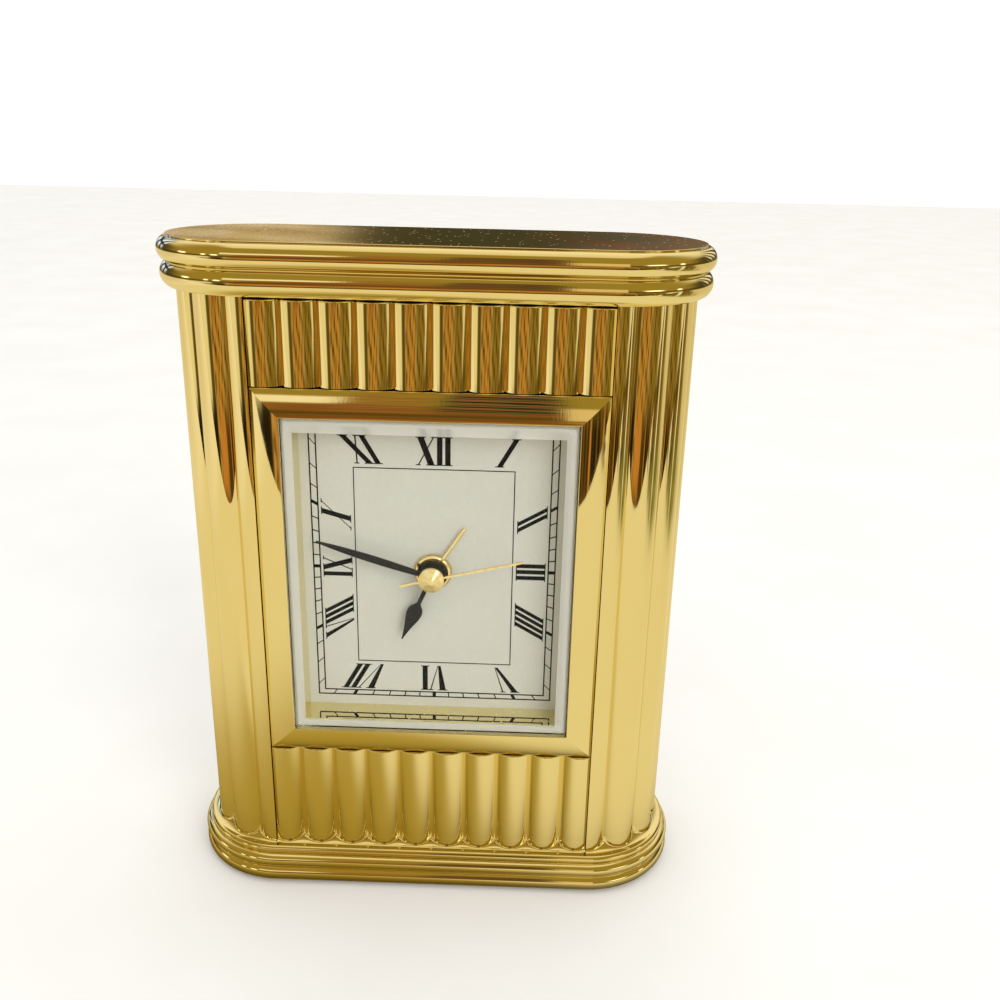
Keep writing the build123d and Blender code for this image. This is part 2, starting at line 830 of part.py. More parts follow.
def placed_hand(sketch, time, lift, thick, boss_r, tube_r):
    front = hand_back(lift) - thick
    outline = sketch + Circle(boss_r) - Circle(tube_r)
    return slab(Pos(0, hand_z) * Rot(0, 0, -time) * outline, front, front + thick)


def spline_blade(shares, length, half_width, neck_half):
    # straight neck, then one side as shares of length and half width, mirrored to the other
    right = [(half_width * wide, length * along) for along, wide in shares]
    right[0] = (neck_half, right[0][1])
    left = [(-x, y) for x, y in reversed(right)]
    neck = Polyline(left[-1], (-neck_half, 0), (neck_half, 0), right[0])
    return make_face(Curve() + [Spline(*right), Line(right[-1], left[0]), Spline(*left), neck])


def hour_hand():
    blade_shares = ((0.446, 0.28), (0.475, 0.5), (0.51, 0.79), (0.55, 0.96), (0.59, 1.0), (0.66, 0.9), (0.78, 0.54),
                    (0.89, 0.27), (1.0, 0.08))
    blade = spline_blade(blade_shares, hour_length, hour_blade_half, hour_neck_half)
    return placed_hand(blade, hour_time, hour_hand_lift, hand_thick, hour_boss_r, hour_tube_r)


def minute_hand():
    blade_shares = ((0.12, 0.7), (0.3, 0.93), (0.5, 1.0), (0.72, 0.82), (0.89, 0.5), (1.0, 0.18))
    blade = spline_blade(blade_shares, minute_length, minute_blade_half, minute_neck_half)
    return placed_hand(blade, minute_time, minute_hand_lift, hand_thick, minute_boss_r, minute_tube_r)


def alarm_hand():
    start_share = 0.2
    points = ((-alarm_root_half, alarm_length * start_share), (alarm_root_half, alarm_length * start_share),
              (alarm_tip_half, alarm_length), (-alarm_tip_half, alarm_length))
    blade = make_face(Polyline(*points, close=True))
    return placed_hand(blade, alarm_time, alarm_hand_lift, thin_hand_thick, alarm_disc_r, alarm_tube_r)


def second_hand():
    points = ((-second_needle_half, -second_tail), (second_needle_half, -second_tail),
              (second_needle_half, second_length), (-second_needle_half, second_length))
    needle = make_face(Polyline(*points, close=True))
    hand = placed_hand(needle, second_time, second_hand_lift, thin_hand_thick, second_cap_r, second_arbor_r)
    front = hand_back(second_hand_lift) - thin_hand_thick
    brim = front - second_cap_brim
    cap = disc(0, hand_z, second_cap_r, brim, front)
    cone = Cone(second_cap_r, 0, second_cap_height, align=(Align.CENTER, Align.CENTER, Align.MIN))
    return hand + cap + Pos(0, brim, hand_z) * Rot(90, 0, 0) * cone


# Movement housing and its fixed pieces

def post_places():
    x = inner_half - post_inset
    levels = (inner_top - post_inset, -bay_top + post_inset)
    return [(side * x, hand_z + z) for side in (-1, 1) for z in levels]


def thin_places():
    return (third_place, fifth_place, rotor_place)


def set_places():
    return (motion_place, alarm_place)


def movement_front():
    shell = block(-housing_half, housing_half, housing_front, parting,
                  hand_z - housing_bottom, hand_z + housing_top)
    for low, high in ((-bay_top, inner_top), (-inner_bottom, -bay_top - housing_wall)):
        shell -= block(-inner_half, inner_half, front_inside, parting + cut_over,
                       hand_z + low, hand_z + high)
    seat = inner_half + plate_rebate
    shell -= block(-seat, seat, plate_front, parting + cut_over,
                   hand_z - bay_top - plate_rebate, hand_z + inner_top + plate_rebate)
    for x, z in post_places():
        shell += disc(x, z, post_r, front_inside, plate_front)
    for z in (tab_high, tab_low):
        shell += block(-tab_end, -housing_half, housing_front, housing_front + tab_thick,
                       hand_z + z - tab_half, hand_z + z + tab_half)
        shell += block(housing_half, tab_end, housing_front, housing_front + tab_thick,
                       hand_z + z - tab_half, hand_z + z + tab_half)
    for x, z in mount_places():
        shell -= disc(x, z, mount_screw_r, housing_front - cut_over, housing_front + tab_thick + cut_over)
    shell += disc(0, hand_z, bush_r, -dial_face - bush_stand, front_inside)
    shell -= disc(0, hand_z, alarm_tube_r + run_gap, -crystal_seat, front_inside + cut_over)
    for x, z in set_places():
        shell -= disc(x, hand_z + z, thin_arbor_r + run_gap,
                      front_inside - pivot_sink - run_gap, front_inside + cut_over)
    return shell


def middle_plate():
    grow = plate_rebate - plate_gap
    edge = inner_half + grow
    plate = block(-edge, edge, plate_front, parting, hand_z - bay_top - grow, hand_z + inner_top + grow)
    holes = [(place, thin_arbor_r) for place in thin_places()]
    holes += [(place, set_arbor_r) for place in set_places()]
    holes.append((centre_place, minute_tube_r))
    for (x, z), radius in holes:
        plate -= disc(x, hand_z + z, radius + run_gap, plate_front - cut_over, parting + cut_over)
    return plate


board_right = inner_half - board_side_room
board_low = bay_top - board_low_room
board_high = inner_top - board_high_room
board_back = back_inside - buzzer_thick - buzzer_room
board_front = board_back - board_thick
can_place = (board_left + can_inset, can_rise)
chip_place = (board_left + chip_inset, chip_rise)
buzzer_place = (board_left + buzzer_inset, buzzer_rise)
switch_left = board_left + board_post_inset + board_post_r + switch_post_gap
switch_place = (switch_left + switch_shoe / 2, inner_top - switch_drop)


def switch_slot(front, back):
    x, z = switch_place
    half = switch_stem / 2 + switch_gap
    return block(x - half, x + switch_travel + half, front, back, hand_z + z - half, hand_z + z + half)


def board_posts():
    left = board_left + board_post_inset
    right = board_right - board_post_inset
    return [(left, hand_z - board_low + board_post_inset), (right, hand_z - board_low + board_post_inset),
            (left, hand_z + board_high - board_post_inset)]


def movement_rear():
    shell = block(-housing_half, housing_half, parting, housing_back,
                  hand_z - housing_bottom, hand_z + housing_top)
    shell -= block(-inner_half, inner_half, parting - cut_over, back_inside,
                   hand_z - bay_top, hand_z + inner_top)
    shell -= block(-inner_half, inner_half, parting - cut_over, housing_back + cut_over,
                   hand_z - inner_bottom, hand_z - bay_top - housing_wall)
    for x, z in board_posts():
        shell += disc(x, z, board_post_r, board_back, back_inside)
    for x, z in stator_posts():
        shell += disc(x, z, stator_post_r, stator_front + stator_thick, back_inside)
    pivots = [(place, thin_arbor_r) for place in thin_places()]
    pivots.append((centre_place, second_arbor_r))
    for (x, z), radius in pivots:
        shell -= disc(x, hand_z + z, radius + run_gap, back_inside - cut_over, pivot_back + run_gap)
    for x, z in set_places():
        shell -= disc(x, hand_z + z, set_arbor_r + run_gap, back_inside - cut_over, housing_back + cut_over)
    for x, z in sound_places():
        shell -= disc(x, z, sound_hole_r, back_inside - cut_over, housing_back + cut_over)
    return shell - switch_slot(back_inside - cut_over, housing_back + cut_over)


def sound_places():
    x, z = buzzer_place
    spots = [(x, hand_z + z)]
    for index in range(sound_holes):
        spot = polar(sound_ring_r, index * 360 / sound_holes)
        spots.append((x + spot[0], hand_z + z + spot[1]))
    return spots


stator_front = magnet_front + (magnet_thick - stator_thick) / 2
rotor_hole_r = magnet_r + stator_gap
coil_reach = coil_gap + coil_wall + coil_build
stator_left = inner_half - coil_side_room - coil_reach
stator_right = -alarm_place[0] + set_arbor_r + stator_room
stator_low = -rotor_place[1] + rotor_hole_r + stator_lip
stator_window_low = -rotor_place[1] - rotor_hole_r - stator_bridge
stator_window_right = stator_left - stator_leg - coil_reach - coil_window_room


def stator_posts():
    left = -stator_left + stator_leg / 2
    high = hand_z + stator_high - stator_bar / 2
    low = hand_z - stator_low + stator_bar / 2
    return [(left, high), (-stator_right - stator_bar / 2, high), (left, low)]


def stator():
    plate = block(-stator_left, -stator_right, stator_front, stator_front + stator_thick,
                  hand_z - stator_low, hand_z + stator_high)
    plate -= block(-stator_left + stator_leg, -stator_window_right, stator_front - cut_over,
                   stator_front + stator_thick + cut_over,
                   hand_z - stator_window_low, hand_z + stator_high - stator_bar)
    return plate - disc(rotor_place[0], hand_z + rotor_place[1], rotor_hole_r,
                        stator_front - cut_over, stator_front + stator_thick + cut_over)


coil_low = hand_z - stator_window_low + coil_end_room
coil_high = hand_z + stator_high - stator_bar - coil_end_room


def coil_sleeve(grow, low, high):
    # box round the stator's leg, grown by a given amount on its four sides
    return block(-stator_left - grow, -stator_left + stator_leg + grow, stator_front - grow,
                 stator_front + stator_thick + grow, low, high)


def coil_bobbin():
    inside = coil_gap + coil_wall
    spool = coil_sleeve(inside, coil_low, coil_high)
    for low in (coil_low, coil_high - coil_wall):
        spool += coil_sleeve(inside + coil_build, low, low + coil_wall)
    return spool - coil_sleeve(coil_gap, coil_low - cut_over, coil_high + cut_over)


def coil_winding():
    inside = coil_gap + coil_wall
    wound = coil_sleeve(inside + coil_build, coil_low + coil_wall, coil_high - coil_wall)
    return wound - coil_sleeve(inside, coil_low, coil_high)




def circuit_board():
    return block(board_left, board_right, board_front, board_back, hand_z - board_low, hand_z + board_high)


def quartz_can():
    x, z = can_place
    low = hand_z + z - can_length / 2
    return Pos(x, board_front - can_r, low) * extrude(Circle(can_r), amount=can_length)


def timing_chip():
    x, z = chip_place
    return disc(x, hand_z + z, chip_r, board_front - chip_thick, board_front)


def buzzer():
    x, z = buzzer_place
    return disc(x, hand_z + z, buzzer_r, board_back, board_back + buzzer_thick)


def alarm_switch():
    x, z = switch_place
    half = switch_stem / 2
    shoe_back = back_inside - switch_gap
    shoe = block(x - switch_shoe / 2, x + switch_shoe / 2, shoe_back - switch_shoe_thick, shoe_back,
                 hand_z + z - half, hand_z + z + half)
    stem = block(x - half, x + half, shoe_back, cover_back + switch_gap,
                 hand_z + z - half, hand_z + z + half)
    tab = block(x - switch_tab / 2, x + switch_tab / 2, cover_back + switch_gap,
                cover_back + switch_gap + switch_tab_stand,
                hand_z + z - switch_tab_high / 2, hand_z + z + switch_tab_high / 2)
    return shoe + stem + tab


cell_z = hand_z - cell_drop
cell_left = -cell_length / 2


def along_x(radius, left, right):
    return Pos(left, cell_y, cell_z) * Rot(0, 90, 0) * extrude(Circle(radius), amount=right - left)


def battery():
    return along_x(cell_r, cell_left, -cell_left) + along_x(cell_nub_r, -cell_left, -cell_left + cell_nub)


def positive_contact():
    left = -cell_left + cell_nub
    return block(left, inner_half, cell_y - contact_half, cell_y + contact_half,
                 cell_z - contact_half, cell_z + contact_half)


def negative_contact():
    # strip on the bay's end wall with a bowed spring that presses on the cell
    wall = block(-inner_half, -inner_half + contact_thick, cell_y - contact_half, cell_y + contact_half,
                 cell_z - contact_half, cell_z + contact_half)
    foot = -inner_half + contact_thick
    outer = [Line((foot, cell_z - contact_half), (foot, cell_z + contact_half)),
             ThreePointArc((foot, cell_z + contact_half), (cell_left, cell_z),
                           (foot, cell_z - contact_half))]
    return wall + slab(make_face(Curve() + outer), cell_y - contact_half / 2, cell_y + contact_half / 2)


# Back

def cover_screw_places():
    cover_screw_x = chassis_inner - cover_screw_side - cover_screw_r - cover_boss_wall
    levels = (body_z + cover_screw_z, cap_z - cover_screw_z)
    return [(side * cover_screw_x, z) for side in (-1, 1) for z in levels]


door_half = cell_length / 2 + door_side
door_high = bay_top + door_inset
door_low = housing_bottom - door_inset
door_step = back_seat + cover_thick * door_skin_share


def door_plate(grow, front, back):
    return block(-door_half - grow, door_half + grow, front, back,
                 hand_z - door_low - grow, hand_z - door_high + grow)


def back_cover():
    cover = block(-panel_half, panel_half, back_seat, cover_back, body_z + seam_gap, cap_z - seam_gap)
    cover -= door_plate(0, back_seat - cut_over, cover_back + cut_over)
    cover -= door_plate(door_ledge, door_step, cover_back + cut_over)
    for x, z in set_places():
        cover -= disc(x, hand_z + z, set_arbor_r + cover_hole_gap,
                      back_seat - cut_over, cover_back + cut_over)
    for x, z in sound_places():
        cover -= disc(x, z, sound_hole_r, back_seat - cut_over, cover_back + cut_over)
    for x, z in cover_screw_places():
        cover -= disc(x, z, cover_screw_r, back_seat - cut_over, cover_back + cut_over)
        cover -= cover_head(x, z)
    return cover - switch_slot(back_seat - cut_over, cover_back + cut_over)


def cover_head(x, z):
    sink = cover_screw_head_r - cover_screw_r
    cone = Cone(cover_screw_r, cover_screw_head_r, sink, align=(Align.CENTER, Align.CENTER, Align.MIN))
    return Pos(x, cover_back - sink, z) * Rot(-90, 0, 0) * cone


def back_cover_screws():
    screws = []
    for x, z in cover_screw_places():
        tip = back_seat - chassis_wall - cover_screw_bite
        screws.append(disc(x, z, cover_screw_r, tip, cover_back) + cover_head(x, z))
    return screws


def battery_door():
    door = door_plate(-door_gap, back_seat, door_step)
    door += door_plate(door_ledge - door_gap, door_step, cover_back)
    high = hand_z - door_high
    bar = extrude(Circle(door_grip_r), amount=door_grip_half * 2)
    grip = Pos(-door_grip_half, cover_back, high) * Rot(0, 90, 0) * bar
    return door - grip


pieces = {
    "top_cap": top_cap(),
    "right_column": column(),
    "left_column": mirror(column(), Plane.YZ),
    "base_plinth": base_plinth(),
    "base_plate": base_plate(),
    "base_felt": stadium(base_recess_r - seam_gap * 2, 0, felt_thick),
    "tie_rods": tie_rods(),
    "chassis": chassis(),
    "upper_panel": front_panel(upper_band),
    "lower_panel": front_panel(lower_band),
    "panel_clips": panel_clips(),
    "bezel": bezel(),
    "crystal": crystal(),
    "dial": dial(),
    "dial_frame": dial_frame(),
    "bezel_screws": bezel_screws(),
    "movement_screws": movement_screws(),
    "alarm_hand": alarm_hand(),
    "hour_hand": hour_hand(),
    "minute_hand": minute_hand(),
    "second_hand": second_hand(),
    "alarm_wheel": alarm_wheel(),
    "alarm_arbor": alarm_arbor(),
    "hour_wheel": hour_wheel(),
    "cannon_pinion": cannon_pinion(),
    "motion_wheel": motion_wheel(),
    "centre_wheel": centre_wheel(),
    "third_wheel": third_wheel(),
    "second_wheel": second_wheel(),
    "fifth_wheel": fifth_wheel(),
    "rotor": rotor(),
    "rotor_magnet": rotor_magnet(),
    "movement_front": movement_front(),
    "middle_plate": middle_plate(),
    "movement_rear": movement_rear(),
    "stator": stator(),
    "coil_bobbin": coil_bobbin(),
    "coil_winding": coil_winding(),
    "circuit_board": circuit_board(),
    "quartz_can": quartz_can(),
    "timing_chip": timing_chip(),
    "buzzer": buzzer(),
    "alarm_switch": alarm_switch(),
    "battery": battery(),
    "positive_contact": positive_contact(),
    "negative_contact": negative_contact(),
    "back_cover": back_cover(),
    "back_cover_screws": back_cover_screws(),
    "battery_door": battery_door(),
    "time_set_knob": knob(motion_place),
    "alarm_set_knob": knob(alarm_place),
}

os.makedirs("parts", exist_ok=True)
for name, piece in pieces.items():
    shape = Compound(children=[Part(solid.wrapped) for solid in piece]) if isinstance(piece, list) else piece
    export_step(shape, f"parts/{name}.step")
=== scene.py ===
import json
from math import cos, sin
import bpy
import numpy as np
from mathutils import Matrix, Vector


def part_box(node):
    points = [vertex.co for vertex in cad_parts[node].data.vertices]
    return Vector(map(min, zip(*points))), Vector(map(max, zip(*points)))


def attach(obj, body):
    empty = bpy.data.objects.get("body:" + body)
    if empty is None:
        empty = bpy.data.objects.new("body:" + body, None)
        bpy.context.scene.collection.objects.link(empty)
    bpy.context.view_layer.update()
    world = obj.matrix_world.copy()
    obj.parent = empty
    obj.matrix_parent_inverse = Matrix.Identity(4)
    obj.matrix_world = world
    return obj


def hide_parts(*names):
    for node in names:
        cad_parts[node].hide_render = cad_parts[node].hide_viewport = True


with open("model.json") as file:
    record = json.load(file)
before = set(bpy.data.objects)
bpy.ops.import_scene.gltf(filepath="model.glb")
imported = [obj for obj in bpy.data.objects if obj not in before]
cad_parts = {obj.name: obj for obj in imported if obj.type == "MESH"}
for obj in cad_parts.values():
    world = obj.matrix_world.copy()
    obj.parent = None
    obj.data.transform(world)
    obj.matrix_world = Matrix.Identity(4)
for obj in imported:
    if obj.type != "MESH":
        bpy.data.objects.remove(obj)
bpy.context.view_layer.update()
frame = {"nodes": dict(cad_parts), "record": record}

scene = bpy.context.scene
mm = 0.001

# main sizes of the clock in mm, the same as the solids have
clock = dict(straightHalf=33.5, crest=16.5, valley=15.0, baseZ=0.6, bodyZ=8.8, capZ=126.1, topZ=135.9,
             handZ=70.95, panelSeat=13.6)


# small mesh tools

def hexLinear(code):
    # sRGB hex to linear light: c/12.92 below 0.04045, else ((c + 0.055)/1.055)^2.4
    c = np.array([int(code[i:i + 2], 16) for i in (1, 3, 5)]) / 255.0
    lin = np.where(c <= 0.04045, c / 12.92, ((c + 0.055) / 1.055) ** 2.4)
    return (*lin.tolist(), 1.0)


def gridQuads(rows, cols, wrapRows=False, wrapCols=False):
    # quads of a rows by cols point grid, whose last row or column may join the first
    r = np.arange(rows if wrapRows else rows - 1)[:, None]
    c = np.arange(cols if wrapCols else cols - 1)[None, :]
    nextR, nextC = (r + 1) % rows, (c + 1) % cols
    quads = np.stack([r * cols + c, r * cols + nextC, nextR * cols + nextC, nextR * cols + c], axis=-1)
    return quads.reshape(-1, 4)


def makePiece(name, points, faces, material, normals=None, smooth=True, crease=None):
    # points in mm go into the mesh in metres
    # normals are one per face corner; without them, edges over crease degrees stay sharp
    mesh = bpy.data.meshes.new(name)
    mesh.from_pydata((np.asarray(points) * mm).tolist(), [], [list(face) for face in faces])
    mesh.polygons.foreach_set("use_smooth", np.full(len(mesh.polygons), smooth))
    if normals is not None:
        mesh.normals_split_custom_set(np.asarray(normals).tolist())
    if crease is not None:
        mesh.set_sharp_from_angle(angle=np.radians(crease))
    mesh.materials.append(material)
    mesh.update()
    piece = bpy.data.objects.new(name, mesh)
    scene.collection.objects.link(piece)
    return piece


def dress(piece, body, slot, *nodes):
    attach(piece, body)
    if nodes:
        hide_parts(*nodes)


def addBrass(name, node, points, faces, normals):
    piece = makePiece(name, points, faces, finish["polished_brass"], normals)
    dress(piece, "case", "polished_brass", node)


def closeWith(faces, normals, loops):
    # adds flat faces round the given point loops, each with its own facing direction
    faces = faces.tolist() + [list(loop) for loop, facing in loops]
    flat = [np.tile(np.array(facing, float), (len(loop), 1)) for loop, facing in loops]
    return faces, np.concatenate([normals.reshape(-1, 3)] + flat)


def filletPath(corners, radii, steps=6):
    # open path through the corners, each rounded by an arc tangent to both sides
    corners = np.asarray(corners, float)
    out = [corners[:1]]
    for before, at, after, radius in zip(corners[:-2], corners[1:-1], corners[2:], radii):
        u = (before - at) / np.linalg.norm(before - at)
        v = (after - at) / np.linalg.norm(after - at)
        half = np.arccos(np.clip(u @ v, -1, 1)) / 2
        start = at + u * radius / np.tan(half)
        end = at + v * radius / np.tan(half)
        centre = at + (u + v) / np.linalg.norm(u + v) * radius / np.sin(half)
        t = np.linspace(0, 1, steps + 1)[:, None]
        chord = (start - centre) * (1 - t) + (end - centre) * t
        out.append(centre + chord / np.linalg.norm(chord, axis=1, keepdims=True) * radius)
    out.append(corners[-1:])
    return np.concatenate(out)


def arcPath(start, through, end, steps=24):
    # circle through three points: centre from the two perpendicular bisectors, then even angles
    p, q, r = (np.asarray(v, float) for v in (start, through, end))
    m = np.array([q - p, r - q]) * 2
    centre = np.linalg.solve(m, np.array([q @ q - p @ p, r @ r - q @ q]))
    a0, a1, a2 = (np.arctan2(*(v - centre)[::-1]) for v in (p, q, r))
    a1 = a0 + (a1 - a0 + np.pi) % (2 * np.pi) - np.pi
    a2 = a1 + (a2 - a1 + np.pi) % (2 * np.pi) - np.pi
    a = np.linspace(a0, a2, steps + 1)
    return centre + np.linalg.norm(p - centre) * np.stack([np.cos(a), np.sin(a)], axis=1)


def segmentNormals(path, sharp=35.0):
    # right-hand normal at both ends of each segment, blended by length where the turn is not sharp
    step = np.diff(path, axis=0)
    long = np.linalg.norm(step, axis=1, keepdims=True)
    side = np.stack([step[:, 1], -step[:, 0]], axis=1) / long
    mixed = side[:-1] * long[:-1] + side[1:] * long[1:]
    mixed /= np.linalg.norm(mixed, axis=1, keepdims=True)
    soft = (side[:-1] * side[1:]).sum(1) > np.cos(np.radians(sharp))
    starts, ends = side.copy(), side.copy()
    starts[1:][soft] = mixed[soft]
    ends[:-1][soft] = mixed[soft]
    return starts, ends


def stadiumSweep(path, ends=72):
    # profile (radius, height) carried round two half circles and the straight sides between them
    a = np.linspace(-np.pi / 2, np.pi / 2, ends + 1)
    turn = np.concatenate([a, a + np.pi])
    shift = np.repeat([clock["straightHalf"], -clock["straightHalf"]], ends + 1)
    r, z = path[:, :1], path[:, 1:]
    points = np.stack([shift + r * np.cos(turn), r * np.sin(turn), z + 0 * turn], axis=-1)
    rows, cols = points.shape[:2]

    def spun(n):
        return np.stack([n[:, :1] * np.cos(turn), n[:, :1] * np.sin(turn), n[:, 1:] + 0 * turn], axis=-1)

    first, last = (spun(n) for n in segmentNormals(path))
    normals = np.stack([first, np.roll(first, -1, 1), np.roll(last, -1, 1), last], axis=2)
    rim = np.arange(cols)
    loops = [(rim[::-1], (0, 0, -1)), ((rows - 1) * cols + rim, (0, 0, 1))]
    return points.reshape(-1, 3), *closeWith(gridQuads(rows, cols, wrapCols=True), normals, loops)


def frameSweep(path, halfW, halfH, ring=False):
    # profile (inset, depth) carried round a rectangle with mitred corners
    starts, ends = segmentNormals(path)
    path = path[:-1] if ring else path
    inset, depth = path[:, :1], path[:, 1:]
    cornerX, cornerZ = np.array([-1, 1, 1, -1]), np.array([-1, -1, 1, 1])
    outX, outZ = np.array([0, 1, 0, -1]), np.array([-1, 0, 1, 0])
    points = np.stack([cornerX * (halfW - inset), depth + 0 * cornerX,
                       clock["handZ"] + cornerZ * (halfH - inset)], axis=-1)

    def facing(n):
        return np.stack([-n[:, :1] * outX, n[:, 1:] + 0 * outX, -n[:, :1] * outZ], axis=-1)

    first, last = facing(starts), facing(ends)
    normals = np.stack([first, first, last, last], axis=2)
    quads = gridQuads(len(path), 4, wrapRows=ring, wrapCols=True)
    return points.reshape(-1, 3), quads, normals.reshape(-1, 3)


def surfaceGrid(shape, u, v):
    # points of shape(u, v), with corner normals from just inside each quad, so creases stay sharp
    grid = shape(u[None, :], v[:, None])
    quads = gridQuads(len(v), len(u))
    u0, u1, v0, v1 = u[None, :-1], u[None, 1:], v[:-1, None], v[1:, None]
    inside, tiny = 0.02, 0.004
    du, dv = (u1 - u0) * tiny, (v1 - v0) * tiny
    corners = []
    for a, b in ((inside, inside), (1 - inside, inside), (1 - inside, 1 - inside), (inside, 1 - inside)):
        uu, vv = u0 + (u1 - u0) * a, v0 + (v1 - v0) * b
        n = np.cross(shape(uu + du, vv) - shape(uu - du, vv), shape(uu, vv + dv) - shape(uu, vv - dv))
        corners.append(n / np.linalg.norm(n, axis=-1, keepdims=True))
    return grid.reshape(-1, 3), quads, np.stack(corners, axis=2).reshape(-1, 3)


def turnedOut(points, faces):
    # a closed shell with its faces outward, by the sign of its volume
    a, b, c = (points[[face[k] for face in faces]] for k in range(3))
    volume = (np.cross(a, b) * c).sum()
    return points, faces if volume > 0 else [face[::-1] for face in faces]


def closedGrid(grid, wrapRows=False):
    # tube of grid rows, joined end to end or closed by flat ends
    rows, cols = grid.shape[:2]
    faces = gridQuads(rows, cols, wrapRows, True).tolist()
    if not wrapRows:
        rim = np.arange(cols)
        faces += [rim[::-1].tolist(), ((rows - 1) * cols + rim).tolist()]
    return turnedOut(grid.reshape(-1, 3), faces)


def joinShells(*shells):
    # several closed shells as one list of points and faces
    starts = np.cumsum([0] + [len(points) for points, faces in shells])
    faces = [[start + i for i in face] for start, shell in zip(starts, shells) for face in shell[1]]
    return np.concatenate([points for points, faces in shells]), faces


def softMax(a, b, soft):
    # larger of two heights, with the inside corner rounded over the soft width
    return (a + b + np.sqrt((a - b) ** 2 + soft ** 2)) / 2


print("tools ready")


# materials

def setSockets(node, values):
    for key, value in values.items():
        node.inputs[key].default_value = value


def colourSockets(sockets):
    # a mix node has a socket of each kind under one name
    return [socket for socket in sockets if socket.type == "RGBA"]


def addNode(tree, kind, links=None, **settings):
    # adds one node with its settings, and joins the sockets given in links
    node = tree.nodes.new(kind)
    for key, value in settings.items():
        if hasattr(node, key):
            setattr(node, key, value)
        else:
            node.inputs[key].default_value = value
    for key, source in (links or {}).items():
        tree.links.new(source, node.inputs[key])
    return node


def startMaterial(name):
    material = bpy.data.materials.new(name)
    material.use_nodes = True
    tree = material.node_tree
    shader = tree.nodes["Principled BSDF"]
    place = addNode(tree, "ShaderNodeTexCoord")
    return material, tree, shader, place.outputs["Object"]


def perMetre(sizeMm):
    # noise scale that gives features of this size
    return 1000.0 / sizeMm


brass = dict(bright="#F1E6B6", warm="#EDDFA8", roughLow=0.018, roughHigh=0.06, smudgeMm=9.0, tintMm=26.0,
             scratchMm=0.35, scratchDepth=0.010, dust="#F4EBD2", dustMm=1.7, dustShare=0.13, dustLevel=0.95,
             dustRough=0.5)


def polishedBrass():
    # lacquered polished brass: mirror clear, with smudges, faint tint changes, hair scratches and dust
    material, tree, shader, place = startMaterial("polishedBrass")
    shader.inputs["Metallic"].default_value = 1.0
    tint = addNode(tree, "ShaderNodeTexNoise", {"Vector": place}, Scale=perMetre(brass["tintMm"]),
                   Detail=3.0)
    colour = addNode(tree, "ShaderNodeMix", {"Factor": tint.outputs["Fac"]}, data_type="RGBA")
    for socket, tone in zip(colourSockets(colour.inputs), ("bright", "warm")):
        socket.default_value = hexLinear(brass[tone])
    smudge = addNode(tree, "ShaderNodeTexNoise", {"Vector": place}, Scale=perMetre(brass["smudgeMm"]),
                     Detail=5.0, Roughness=0.62)
    rough = addNode(tree, "ShaderNodeMapRange", {"Value": smudge.outputs["Fac"]},
                    **{"From Min": 0.42, "From Max": 0.72,
                       "To Min": brass["roughLow"], "To Max": brass["roughHigh"]})
    # hair scratches: noise drawn out 30 times along a slanted line
    slant = addNode(tree, "ShaderNodeMapping", {"Vector": place},
                    Rotation=(0.5, 0.3, 0.7), Scale=(1.0, 1.0, 0.03))
    hair = addNode(tree, "ShaderNodeTexNoise", {"Vector": slant.outputs["Vector"]},
                   Scale=perMetre(brass["scratchMm"]), Detail=1.0)
    bump = addNode(tree, "ShaderNodeBump", {"Height": hair.outputs["Fac"]}, Strength=0.12,
                   Distance=brass["scratchDepth"] * mm)
    # dust: small pale specks that settle where the surface faces up
    speck = addNode(tree, "ShaderNodeTexVoronoi", {"Vector": place}, Scale=perMetre(brass["dustMm"]))
    near = addNode(tree, "ShaderNodeMath", {0: speck.outputs["Distance"]}, operation="LESS_THAN")
    setSockets(near, {1: brass["dustShare"]})
    facing = addNode(tree, "ShaderNodeNewGeometry")
    split = addNode(tree, "ShaderNodeSeparateXYZ", {0: facing.outputs["Normal"]})
    level = addNode(tree, "ShaderNodeMath", {0: split.outputs["Z"]}, operation="GREATER_THAN")
    setSockets(level, {1: brass["dustLevel"]})
    dust = addNode(tree, "ShaderNodeMath", {0: near.outputs[0], 1: level.outputs[0]}, operation="MULTIPLY")
    dusty = addNode(tree, "ShaderNodeMix", {"Factor": dust.outputs[0]}, data_type="RGBA")
    clean, covered = colourSockets(dusty.inputs)
    tree.links.new(colourSockets(colour.outputs)[0], clean)
    covered.default_value = hexLinear(brass["dust"])
    roughDust = addNode(tree, "ShaderNodeMath", {0: dust.outputs[0], 2: rough.outputs[0]},
                        operation="MULTIPLY_ADD")
    setSockets(roughDust, {1: brass["dustRough"]})
    tree.links.new(colourSockets(dusty.outputs)[0], shader.inputs["Base Color"])
    tree.links.new(roughDust.outputs[0], shader.inputs["Roughness"])
    tree.links.new(bump.outputs["Normal"], shader.inputs["Normal"])
    return material


